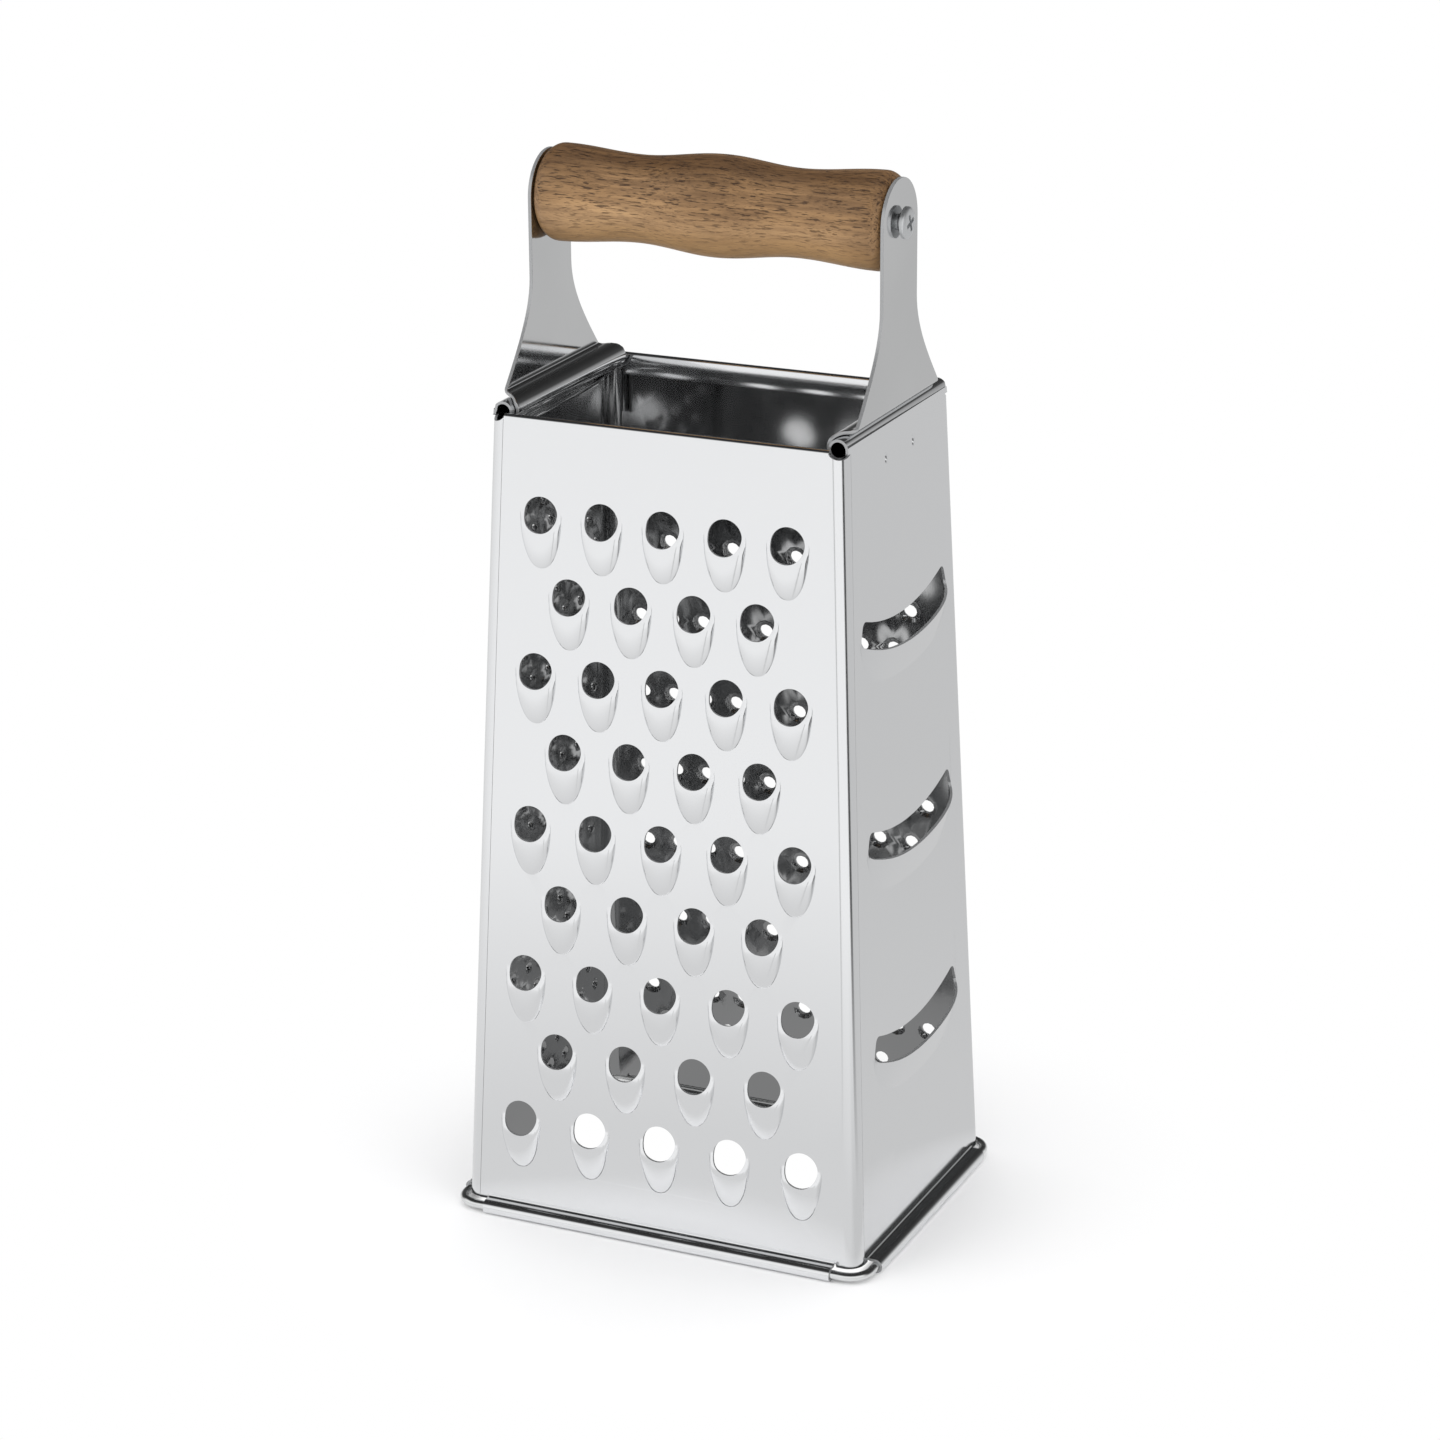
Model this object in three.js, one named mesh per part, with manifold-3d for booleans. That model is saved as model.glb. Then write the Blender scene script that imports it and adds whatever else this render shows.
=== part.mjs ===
// Four-sided box grater with a turned wooden grip between two sheet brackets.
// Millimetres, +Z up, coarse side facing -Y, slicing side facing +X, floor at z = 0.
import * as THREE from 'three';
import { mergeVertices } from 'three/addons/utils/BufferGeometryUtils.js';
import Module from 'manifold-3d';

const wasm = await Module();
wasm.setup();

// Body of the grater: outer sizes at the rim and the slope shared by all four sides
const RIM_HEIGHT = 188.5;
const RIM_WIDTH = 83.8;
const RIM_DEPTH = 60.8;
const SIDE_SLOPE = 0.0388;
const SHEET = 0.6;
const CORNER_RADIUS = 3.0;
const CLEARANCE = 0.3;

// Joggled lap inside each vertical corner
const LAP_LENGTH = 4.0;
const LAP_JOGGLE = 1.0;
const LAP_TOP_BELOW_HEM = 1.0;

// Rims: flat hem on front and back, open roll on the sides, relief notch at each corner
const HEM_HEIGHT = 5.0;
const HEM_BEND = 0.6;
const ROLL_RADIUS = 2.6;
const ROLL_RISE = 2.1;
const ROLL_WRAP = 290;
const CORNER_RELIEF = 2.5;
const RIM_END_GAP = 4.5;

// Foot: cove and bead rolled round the base wire
const WIRE_DIAMETER = 2.0;
const WIRE_CORNER_RADIUS = 5.0;
const WIRE_OFFSET = 1.6;
const BEAD_END_GAP = 4.5;
const BEAD_FACET = 30;

// Coarse side: staggered rows of round holes with a raised scoop below each
const COARSE_PER_ROW = 5;
const COARSE_FIRST_BELOW_RIM = 21.5;
const COARSE_ROW_PITCH = 17.82;
const COARSE_EDGE_MARGIN = 13.4;
const COARSE_FOOT_MARGIN = 8.0;
const COARSE_HOLE = 8.0;
const COARSE_SCOOP_WIDTH = 9.4;
const COARSE_SCOOP_TAIL = 12.0;
const COARSE_SCOOP_RISE = 2.4;

// Slicing side: three curved slots with a raised lower lip
const SLOT_COUNT = 3;
const SLOT_FIRST_BELOW_RIM = 46.0;
const SLOT_PITCH = 48.0;
const SLOT_WIDTH = 48.0;
const SLOT_HEIGHT = 6.3;
const SLOT_ARC_RADIUS = 72.0;
const SLOT_LIP_DROP = 8.0;
const SLOT_LIP_RISE = 2.6;

// Medium side and fine side: staggered punched holes
const MEDIUM_HOLE = 3.4;
const MEDIUM_PITCH = 8.0;
const MEDIUM_ROW_PITCH = 9.5;
const FINE_HOLE = 2.2;
const FINE_PITCH = 8.0;
const FINE_ROW_PITCH = 6.0;
const PUNCH_EDGE_MARGIN = 8.0;
const PUNCH_TOP_MARGIN = 26.0;
const PUNCH_FOOT_MARGIN = 18.0;

// Handle: brackets, turned grip and its two screws
const BRACKET_SHEET = 0.8;
const BRACKET_TOP_WIDTH = 19.2;
const BRACKET_FOOT_WIDTH = 51.6;
const BRACKET_OUTSET = 0.3;
const BRACKET_TAIL = 17.5;
const BRACKET_TAIL_WIDTH = 42.0;
const BRACKET_TAIL_NOTCH = 4.6;
const BRACKET_NECK_RISE = 25.5;
const BRACKET_FLARE_PULL = 0.33;
const BRACKET_FLARE_REACH = 0.69;
const BRACKET_STEP = 2.6;
const GRIP_AXIS_RISE = 43.0;
const GRIP_DIAMETER = 22.4;
const GRIP_END_DIAMETER = 21.6;
const GRIP_WAIST_DIAMETER = 19.2;
const GRIP_ROUND_OVER = 3.2;
const SCREW_DIAMETER = 3.5;
const SCREW_LENGTH = 18.0;
const SCREW_HEAD_DIAMETER = 7.0;
const SCREW_HEAD_HEIGHT = 1.9;
const SCREW_RECESS_WIDTH = 0.9;
const SCREW_RECESS_SPAN = 3.8;

// Rounding of the faceted curves
const HOLE_SIDES = 10;
const MEDIUM_SIDES = 6;
const FINE_SIDES = 4;
const SCOOP_SIDES = 8;
const LIP_SIDES = 24;
const GRIP_SIDES = 24;
const SCREW_SIDES = 20;
const WIRE_SIDES = 10;
const BEND_STEPS = 4;
const ROLL_STEPS = 14;
const HOOK_STEPS = 8;
const SLOT_STEPS = 12;
const GRIP_STEPS = 9;
const OUTLINE_STEPS = 8;
const BEYOND = 12.0;

// Values that follow from the sizes above
const halfSheet = SHEET / 2;
const rimHalfWidth = RIM_WIDTH / 2;
const rimHalfDepth = RIM_DEPTH / 2;
const spreadAt = (z) => SIDE_SLOPE * (RIM_HEIGHT - z);
const wireRadius = WIRE_DIAMETER / 2;
const beadMiddle = wireRadius + CLEARANCE + halfSheet;
const beadCentreHeight = (beadMiddle + halfSheet) * Math.cos(THREE.MathUtils.degToRad(BEAD_FACET / 2));
const coveMiddle = WIRE_OFFSET + halfSheet;
const footHeight = beadCentreHeight + beadMiddle + coveMiddle;
const rollMiddle = ROLL_RADIUS - halfSheet;
const rollCentre = new THREE.Vector2(-ROLL_RADIUS, RIM_HEIGHT + ROLL_RISE - ROLL_RADIUS);
const seamEdge = CORNER_RADIUS + LAP_JOGGLE + CLEARANCE;
const lapTop = RIM_HEIGHT - HEM_HEIGHT - LAP_TOP_BELOW_HEM;
const gripAxisHeight = RIM_HEIGHT + GRIP_AXIS_RISE;
const plateOuter = rimHalfWidth + BRACKET_OUTSET;
const plateInner = plateOuter - BRACKET_SHEET;
const gripHalfLength = plateInner - CLEARANCE;
const screwBore = SCREW_DIAMETER / 2 + CLEARANCE;
const headSeat = plateOuter + CLEARANCE;

const polished = new THREE.MeshStandardMaterial({ color: 0xd4d6d8, roughness: 0.16, metalness: 1.0 });
const brushed = new THREE.MeshStandardMaterial({ color: 0xb9bbbd, roughness: 0.3, metalness: 1.0 });
const wireSteel = new THREE.MeshStandardMaterial({ color: 0xc2c3c4, roughness: 0.25, metalness: 1.0 });
const screwSteel = new THREE.MeshStandardMaterial({ color: 0xa9abad, roughness: 0.35, metalness: 1.0 });
const wood = new THREE.MeshStandardMaterial({ color: 0x8a5f38, roughness: 0.5, metalness: 0.0 });

/** Turns a closed geometry into a solid for adding and subtracting. */
function solidOf(geometry) {
  const bare = geometry.index ? geometry.toNonIndexed() : geometry.clone();
  bare.deleteAttribute('normal');
  bare.deleteAttribute('uv');
  const welded = mergeVertices(bare, 1e-4);
  const vertProperties = new Float32Array(welded.attributes.position.array);
  const triVerts = new Uint32Array(welded.index.array);
  return new wasm.Manifold(new wasm.Mesh({ numProp: 3, vertProperties, triVerts }));
}

/** Turns a solid into geometry, passing every corner through a placing function. */
function geometryOf(solid, place) {
  const data = solid.getMesh();
  const corners = new Float32Array(data.numVert * 3);
  for (let i = 0; i < data.numVert; i += 1) {
    const start = i * data.numProp;
    const corner = new THREE.Vector3().fromArray(data.vertProperties, start);
    place(corner).toArray(corners, i * 3);
  }
  const geometry = new THREE.BufferGeometry();
  geometry.setAttribute('position', new THREE.BufferAttribute(corners, 3));
  geometry.setIndex(new THREE.BufferAttribute(new Uint32Array(data.triVerts), 1));
  geometry.computeVertexNormals();
  return geometry;
}

/** Names a geometry as one piece of the grater. */
function piece(name, geometry, material) {
  const mesh = new THREE.Mesh(geometry, material);
  mesh.name = name;
  return mesh;
}

/** Points on an arc, angles in degrees. */
function arc(centre, radius, from, to, steps) {
  const start = THREE.MathUtils.degToRad(from);
  const end = THREE.MathUtils.degToRad(to);
  return new THREE.EllipseCurve(centre.x, centre.y, radius, radius, start, end, end < start).getPoints(steps);
}

/** Closed outline of a bent sheet of the given thickness about its middle line. */
function sheetOutline(line, thickness) {
  const sides = [[], []];
  line.forEach((point, i) => {
    const before = line[Math.max(i - 1, 0)];
    const after = line[Math.min(i + 1, line.length - 1)];
    const into = (i > 0 ? point.clone().sub(before) : after.clone().sub(point)).normalize();
    const out = (i < line.length - 1 ? after.clone().sub(point) : into.clone()).normalize();
    const along = into.clone().add(out).normalize();
    const reach = thickness / 2 / along.dot(into);
    const across = new THREE.Vector2(-along.y, along.x).multiplyScalar(reach);
    sides[0].push(point.clone().add(across));
    sides[1].push(point.clone().sub(across));
  });
  return new THREE.Shape([...sides[0], ...sides[1].reverse()]);
}

/** Prism of a profile given as (outward, height), running along the wall. */
function alongWall(profile, length) {
  const geometry = new THREE.ExtrudeGeometry(profile, { depth: length, bevelEnabled: false });
  geometry.translate(0, 0, -length / 2);
  const axes = new THREE.Matrix4().makeBasis(
    new THREE.Vector3(0, -1, 0),
    new THREE.Vector3(0, 0, 1),
    new THREE.Vector3(-1, 0, 0),
  );
  return solidOf(geometry.applyMatrix4(axes));
}

/** Prism of an outline given as (across, height), running out through the wall. */
function throughWall(outline, inside, outside) {
  const settings = { depth: inside + outside, bevelEnabled: false, curveSegments: OUTLINE_STEPS };
  const geometry = new THREE.ExtrudeGeometry(outline, settings);
  geometry.translate(0, 0, -inside);
  geometry.rotateX(Math.PI / 2);
  return solidOf(geometry);
}

/** Regular outline with its middle at (across, height). */
function roundOutline(across, height, radius, sides, turn = 0) {
  const outline = new THREE.Shape();
  outline.setFromPoints(
    Array.from({ length: sides }, (_, i) => {
      const angle = turn + (i / sides) * Math.PI * 2;
      return new THREE.Vector2(across + radius * Math.cos(angle), height + radius * Math.sin(angle));
    }),
  );
  return outline;
}

/** Half-egg raised from the wall, its middle at (across, height). */
function dome(across, height, halfWidth, halfHeight, rise, sides, level) {
  const geometry = new THREE.SphereGeometry(1, sides, 4);
  geometry.scale(halfWidth, rise, halfHeight);
  geometry.translate(across, -level, height);
  return solidOf(geometry);
}

/** Middle line of the wall from the free end of the bead up to just below the rim. */
function footLine() {
  const wire = new THREE.Vector2(WIRE_OFFSET, beadCentreHeight);
  const cove = new THREE.Vector2(WIRE_OFFSET, footHeight);
  const beadSteps = 270 / BEAD_FACET - 1;
  const bead = arc(wire, beadMiddle, BEAD_FACET / 2 - 180, 90 - BEAD_FACET / 2, beadSteps);
  return [...bead, ...arc(cove, coveMiddle, 260, 180, BEND_STEPS)];
}

/** Middle line of the flat hem folded inward. */
function hemLine() {
  const bend = new THREE.Vector2(-halfSheet - HEM_BEND, RIM_HEIGHT - halfSheet - HEM_BEND);
  const end = new THREE.Vector2(bend.x - HEM_BEND, RIM_HEIGHT - HEM_HEIGHT);
  return [...arc(bend, HEM_BEND, 0, 180, BEND_STEPS), end];
}

/** Middle line of the open roll turned inward. */
function rollLine() {
  return arc(rollCentre, rollMiddle, 0, ROLL_WRAP, ROLL_STEPS);
}

/** Outline of a wall seen from outside, with the bead and the rim cut back from the corners. */
function wallOutline(halfWidth) {
  const edge = (z, inset) => halfWidth + spreadAt(z) - inset;
  const shoulder = RIM_HEIGHT - CORNER_RELIEF;
  const top = RIM_HEIGHT + BEYOND;
  const outline = new THREE.Shape();
  outline.moveTo(-edge(0, BEAD_END_GAP), -BEYOND);
  outline.lineTo(edge(0, BEAD_END_GAP), -BEYOND);
  outline.lineTo(edge(0, BEAD_END_GAP), footHeight);
  outline.lineTo(edge(footHeight, CORNER_RADIUS), footHeight);
  outline.lineTo(edge(shoulder, CORNER_RADIUS), shoulder);
  outline.lineTo(halfWidth - RIM_END_GAP, shoulder);
  outline.lineTo(halfWidth - RIM_END_GAP, top);
  outline.lineTo(-halfWidth + RIM_END_GAP, top);
  outline.lineTo(-halfWidth + RIM_END_GAP, shoulder);
  outline.lineTo(-edge(shoulder, seamEdge), shoulder);
  outline.lineTo(-edge(footHeight, seamEdge), footHeight);
  outline.lineTo(-edge(0, BEAD_END_GAP), footHeight);
  outline.closePath();
  return outline;
}

/** Corner bend at the wall's right-hand edge, with or without the lap tucked behind the next wall. */
function cornerBend(halfWidth, withLap, top) {
  const centre = new THREE.Vector2(-CORNER_RADIUS, CORNER_RADIUS);
  const line = [
    new THREE.Vector2(-CORNER_RADIUS - 2 * SHEET, halfSheet),
    ...arc(centre, CORNER_RADIUS - halfSheet, -90, 0, BEND_STEPS),
  ];
  if (withLap) {
    const lapFace = -halfSheet - SHEET - CLEARANCE;
    line.push(new THREE.Vector2(lapFace, CORNER_RADIUS + LAP_JOGGLE));
    line.push(new THREE.Vector2(lapFace, CORNER_RADIUS + LAP_JOGGLE + LAP_LENGTH));
  }
  const section = sheetOutline(line, SHEET);
  const geometry = new THREE.ExtrudeGeometry(section, { depth: top - footHeight, bevelEnabled: false });
  geometry.translate(halfWidth, 0, footHeight);
  const lean = new THREE.Matrix4().makeShear(0, 0, 0, 0, -SIDE_SLOPE, 0);
  geometry.applyMatrix4(lean);
  geometry.translate(spreadAt(0), 0, 0);
  return solidOf(geometry);
}

/** One pressed wall: foot, sheet and rim, then its raised scoops, its holes and its corner bend. */
function wall({ name, halfWidth, distance, rim, scoops, holes, quarterTurns }) {
  const profile = sheetOutline([...footLine(), ...rim], SHEET);
  const longest = 2 * (halfWidth + spreadAt(0));
  const trim = throughWall(wallOutline(halfWidth), BEYOND, BEYOND);
  let solid = alongWall(profile, longest).intersect(trim);
  solid = solid.add(cornerBend(halfWidth, false, RIM_HEIGHT - CORNER_RELIEF));
  solid = solid.add(cornerBend(halfWidth, true, lapTop));
  for (const scoop of scoops) {
    solid = solid.add(scoop.raised).subtract(scoop.hollow);
  }
  if (holes.length > 0) {
    const cutters = holes.map((outline) => throughWall(outline, BEYOND, BEYOND));
    solid = solid.subtract(wasm.Manifold.union(cutters));
  }
  const turn = new THREE.Matrix4().makeRotationZ((quarterTurns * Math.PI) / 2);
  const place = (corner) => onWall(corner, distance).applyMatrix4(turn);
  return piece(name, geometryOf(solid, place), polished);
}

/** Moves a corner from the upright wall to the sloping one at its distance from the middle. */
function onWall(corner, distance) {
  corner.y -= distance + Math.max(spreadAt(corner.z), 0);
  return corner;
}

/** Raised scoop: a sheet-thick dome kept below the limiting outline. */
function scoop(across, height, halfWidth, halfHeight, rise, sides, limit) {
  const below = throughWall(limit, SHEET / 2, BEYOND);
  const raised = dome(across, height, halfWidth, halfHeight, rise, sides, 0).intersect(below);
  const hollowLimit = throughWall(limit, BEYOND, BEYOND);
  const hollow = dome(across, height, halfWidth - SHEET, halfHeight - SHEET, rise, sides, -SHEET);
  return { raised, hollow: hollow.intersect(hollowLimit) };
}

/** Holes and scoops of the coarse side; every second row has one hole fewer. */
function coarsePattern() {
  const holes = [];
  const scoops = [];
  const radius = COARSE_HOLE / 2;
  const halfTail = (COARSE_SCOOP_TAIL + radius) / 2;
  const lowest = COARSE_FOOT_MARGIN + COARSE_SCOOP_TAIL;
  const rows = Math.floor((RIM_HEIGHT - COARSE_FIRST_BELOW_RIM - lowest) / COARSE_ROW_PITCH);
  for (let row = 0; row <= rows; row += 1) {
    const height = RIM_HEIGHT - COARSE_FIRST_BELOW_RIM - row * COARSE_ROW_PITCH;
    const halfWidth = rimHalfWidth + spreadAt(height) - COARSE_EDGE_MARGIN;
    const pitch = (2 * halfWidth) / (COARSE_PER_ROW - 1);
    const count = COARSE_PER_ROW - (row % 2);
    for (let column = 0; column < count; column += 1) {
      const across = (column - (count - 1) / 2) * pitch;
      const limit = new THREE.Shape();
      limit.moveTo(across - COARSE_SCOOP_WIDTH, height - COARSE_SCOOP_TAIL - BEYOND);
      limit.lineTo(across + COARSE_SCOOP_WIDTH, height - COARSE_SCOOP_TAIL - BEYOND);
      limit.lineTo(across + COARSE_SCOOP_WIDTH, height - radius / 4);
      limit.lineTo(across - COARSE_SCOOP_WIDTH, height - radius / 4);
      const middle = height + radius - halfTail;
      const halfScoop = COARSE_SCOOP_WIDTH / 2;
      holes.push(roundOutline(across, height, radius, HOLE_SIDES, Math.PI / HOLE_SIDES));
      scoops.push(scoop(across, middle, halfScoop, halfTail, COARSE_SCOOP_RISE, SCOOP_SIDES, limit));
    }
  }
  return { holes, scoops };
}

/** Points across a slot at a given height above its middle line, curving up towards both ends. */
function slotArc(height, offset) {
  const centre = new THREE.Vector2(0, height + SLOT_ARC_RADIUS);
  const halfAngle = THREE.MathUtils.radToDeg(Math.asin(SLOT_WIDTH / 2 / SLOT_ARC_RADIUS));
  return arc(centre, SLOT_ARC_RADIUS - offset, 270 - halfAngle, 270 + halfAngle, SLOT_STEPS);
}

/** Slots and lips of the slicing side. */
function slicingPattern() {
  const holes = [];
  const scoops = [];
  for (let i = 0; i < SLOT_COUNT; i += 1) {
    const height = RIM_HEIGHT - SLOT_FIRST_BELOW_RIM - i * SLOT_PITCH;
    const upper = slotArc(height, SLOT_HEIGHT / 2);
    const lower = slotArc(height, -SLOT_HEIGHT / 2);
    holes.push(new THREE.Shape([...lower, ...upper.reverse()]));
    const reach = SLOT_WIDTH / 2 + BEYOND;
    const limit = new THREE.Shape([
      new THREE.Vector2(-reach, height - SLOT_LIP_DROP - 2 * BEYOND),
      new THREE.Vector2(reach, height - SLOT_LIP_DROP - 2 * BEYOND),
      ...slotArc(height, 0).reverse(),
    ]);
    const middle = height + SLOT_HEIGHT / 2;
    const drop = SLOT_HEIGHT + SLOT_LIP_DROP;
    scoops.push(scoop(0, middle, SLOT_WIDTH / 2 + SHEET, drop, SLOT_LIP_RISE, LIP_SIDES, limit));
  }
  return { holes, scoops };
}

/** Staggered punches filling a wall between its margins. */
function punchedPattern(halfWidth, hole, pitch, rowPitch, sides) {
  const holes = [];
  const top = RIM_HEIGHT - PUNCH_TOP_MARGIN;
  const rows = Math.floor((top - PUNCH_FOOT_MARGIN) / rowPitch);
  for (let row = 0; row <= rows; row += 1) {
    const height = top - row * rowPitch;
    const usable = 2 * (halfWidth + spreadAt(height) - PUNCH_EDGE_MARGIN);
    const most = Math.floor(usable / pitch) + 1;
    const count = most % 2 === row % 2 ? most : most - 1;
    for (let column = 0; column < count; column += 1) {
      const across = (column - (count - 1) / 2) * pitch;
      holes.push(roundOutline(across, height, hole / 2, sides));
    }
  }
  return { holes, scoops: [] };
}

/** Base wire: round wire bent to a rounded rectangle. */
function baseWire() {
  const halfWidth = rimHalfWidth + spreadAt(beadCentreHeight) + WIRE_OFFSET;
  const halfDepth = rimHalfDepth + spreadAt(beadCentreHeight) + WIRE_OFFSET;
  const corner = WIRE_CORNER_RADIUS;
  const right = halfWidth - corner;
  const far = halfDepth - corner;
  const loop = new THREE.Path();
  loop.absarc(right, far, corner, 0, Math.PI / 2);
  loop.absarc(-right, far, corner, Math.PI / 2, Math.PI);
  loop.absarc(-right, -far, corner, Math.PI, Math.PI * 1.5);
  loop.absarc(right, -far, corner, Math.PI * 1.5, Math.PI * 2);
  const atWire = (point) => new THREE.Vector3(point.x, point.y, beadCentreHeight);
  const path = loop.getPoints(BEND_STEPS).map(atWire);
  const count = path.length;
  const corners = [];
  path.forEach((point, i) => {
    const before = path[(i + count - 1) % count];
    const after = path[(i + 1) % count];
    const into = point.clone().sub(before).normalize();
    const along = after.clone().sub(point).normalize().add(into).normalize();
    const across = new THREE.Vector3(along.y, -along.x, 0).divideScalar(along.dot(into));
    for (let side = 0; side < WIRE_SIDES; side += 1) {
      const angle = ((side + 0.5) / WIRE_SIDES) * Math.PI * 2;
      const reach = across.clone().multiplyScalar(wireRadius * Math.cos(angle));
      corners.push(point.x + reach.x, point.y + reach.y, point.z + wireRadius * Math.sin(angle));
    }
  });
  const faces = [];
  for (let i = 0; i < count; i += 1) {
    for (let side = 0; side < WIRE_SIDES; side += 1) {
      const next = ((i + 1) % count) * WIRE_SIDES;
      const turn = (side + 1) % WIRE_SIDES;
      faces.push(i * WIRE_SIDES + side, next + side, next + turn);
      faces.push(i * WIRE_SIDES + side, next + turn, i * WIRE_SIDES + turn);
    }
  }
  const geometry = new THREE.BufferGeometry();
  geometry.setAttribute('position', new THREE.Float32BufferAttribute(corners, 3));
  geometry.setIndex(faces);
  geometry.computeVertexNormals();
  return piece('base_wire', geometry, wireSteel);
}

/** Middle line of a bracket: tail inside the wall, hook round the side roll, upright plate. */
function bracketLine() {
  const tailFace = -SHEET - CLEARANCE - BRACKET_SHEET / 2;
  const plateFace = BRACKET_OUTSET - BRACKET_SHEET / 2;
  const hook = ROLL_RADIUS + CLEARANCE + BRACKET_SHEET / 2;
  const hookLine = arc(rollCentre, hook, 250, 100, HOOK_STEPS);
  const crest = hookLine[hookLine.length - 1];
  const turnIn = rollCentre.y - 2 * ROLL_RADIUS;
  const under = new THREE.Vector2(plateFace, crest.y);
  const upright = new THREE.Vector2(plateFace, crest.y + BRACKET_STEP);
  const step = new THREE.QuadraticBezierCurve(crest, under, upright).getPoints(BEND_STEPS).slice(1);
  return [
    new THREE.Vector2(tailFace, RIM_HEIGHT - BRACKET_TAIL),
    new THREE.Vector2(tailFace, turnIn - BRACKET_SHEET),
    new THREE.Vector2(tailFace - BRACKET_SHEET, turnIn + BRACKET_SHEET),
    ...hookLine,
    ...step,
    new THREE.Vector2(plateFace, gripAxisHeight + BRACKET_TOP_WIDTH),
  ];
}

/** Outline of a bracket seen from its side: round top, slim neck, wide foot. */
function bracketOutline() {
  const top = BRACKET_TOP_WIDTH / 2;
  const foot = BRACKET_FOOT_WIDTH / 2;
  const neck = RIM_HEIGHT + BRACKET_NECK_RISE;
  const shoulder = RIM_HEIGHT + ROLL_RISE;
  const bottom = RIM_HEIGHT - BRACKET_TAIL - BEYOND;
  const tail = BRACKET_TAIL_WIDTH / 2;
  const notch = RIM_HEIGHT - BRACKET_TAIL_NOTCH;
  const pull = (neck - shoulder) * BRACKET_FLARE_PULL;
  const reach = foot * BRACKET_FLARE_REACH;
  const outline = new THREE.Shape();
  outline.moveTo(-tail, bottom);
  outline.lineTo(tail, bottom);
  outline.lineTo(tail, notch);
  outline.lineTo(foot, notch);
  outline.lineTo(foot, shoulder);
  outline.bezierCurveTo(reach, shoulder + pull, top, neck - pull, top, neck);
  outline.absarc(0, gripAxisHeight, top, 0, Math.PI);
  outline.lineTo(-top, neck);
  outline.bezierCurveTo(-top, neck - pull, -reach, shoulder + pull, -foot, shoulder);
  outline.lineTo(-foot, notch);
  outline.lineTo(-tail, notch);
  outline.closePath();
  return outline;
}

/** One bracket with its screw hole, turned to its side of the body. */
function bracket(name, quarterTurns) {
  const band = alongWall(sheetOutline(bracketLine(), BRACKET_SHEET), BRACKET_FOOT_WIDTH + BEYOND);
  const hole = throughWall(roundOutline(0, gripAxisHeight, screwBore, HOLE_SIDES), BEYOND, BEYOND);
  const solid = band.intersect(throughWall(bracketOutline(), BEYOND, BEYOND)).subtract(hole);
  const turn = new THREE.Matrix4().makeRotationZ((quarterTurns * Math.PI) / 2);
  const place = (corner) => onWall(corner, rimHalfWidth).applyMatrix4(turn);
  return piece(name, geometryOf(solid, place), brushed);
}

/** Turned grip with a swelling middle, two waists, rounded ends and a screw bore in each end. */
function grip() {
  const middle = GRIP_DIAMETER / 2;
  const end = GRIP_END_DIAMETER / 2;
  const waist = GRIP_WAIST_DIAMETER / 2;
  const straight = gripHalfLength - GRIP_ROUND_OVER;
  const boreDepth = gripHalfLength - SCREW_LENGTH - CLEARANCE;
  const rounded = arc(new THREE.Vector2(end - GRIP_ROUND_OVER, straight), GRIP_ROUND_OVER, 0, 90, BEND_STEPS);
  const half = [];
  for (let i = 0; i < GRIP_STEPS; i += 1) {
    const along = (i / GRIP_STEPS) * straight;
    const crest = along < straight / 2 ? middle : end;
    const swell = (1 + Math.cos((along / straight) * Math.PI * 2)) / 2;
    half.push(new THREE.Vector2(waist + (crest - waist) * swell, along));
  }
  half.push(...rounded, new THREE.Vector2(screwBore, gripHalfLength));
  half.push(new THREE.Vector2(screwBore, boreDepth), new THREE.Vector2(0, boreDepth));
  const mirrored = half.slice(1).map((point) => new THREE.Vector2(point.x, -point.y)).reverse();
  const geometry = new THREE.LatheGeometry([...mirrored, ...half], GRIP_SIDES);
  geometry.rotateZ(-Math.PI / 2);
  const place = (corner) => corner.setZ(corner.z + gripAxisHeight);
  return piece('grip', geometryOf(solidOf(geometry), place), wood);
}

/** Pan-head screw with a cross recess, its shank running in along the grip's axis. */
function screw(name, side) {
  const shank = SCREW_DIAMETER / 2;
  const head = SCREW_HEAD_DIAMETER / 2;
  const tip = gripHalfLength - SCREW_LENGTH + 2 * CLEARANCE;
  const crown = headSeat + SCREW_HEAD_HEIGHT;
  const panEdge = new THREE.Vector2(head, headSeat + SCREW_HEAD_HEIGHT / 2);
  const panTop = new THREE.Vector2(head / 2, crown);
  const pan = new THREE.QuadraticBezierCurve(panEdge, new THREE.Vector2(head, crown), panTop);
  const profile = [
    new THREE.Vector2(0, tip),
    new THREE.Vector2(shank, tip + shank),
    new THREE.Vector2(shank, headSeat),
    new THREE.Vector2(head, headSeat),
    ...pan.getPoints(BEND_STEPS),
    new THREE.Vector2(0, crown),
  ];
  const turned = solidOf(new THREE.LatheGeometry(profile, SCREW_SIDES));
  const recess = [0, Math.PI / 2].map((angle) => {
    const bar = new THREE.BoxGeometry(SCREW_RECESS_SPAN, SCREW_HEAD_HEIGHT, SCREW_RECESS_WIDTH);
    bar.rotateY(angle);
    bar.translate(0, crown, 0);
    return solidOf(bar);
  });
  const solid = turned.subtract(wasm.Manifold.union(recess));
  const turn = new THREE.Matrix4().makeRotationZ((-side * Math.PI) / 2);
  const place = (corner) => corner.applyMatrix4(turn).setZ(corner.z + gripAxisHeight);
  return piece(name, geometryOf(solid, place), screwSteel);
}

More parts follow.
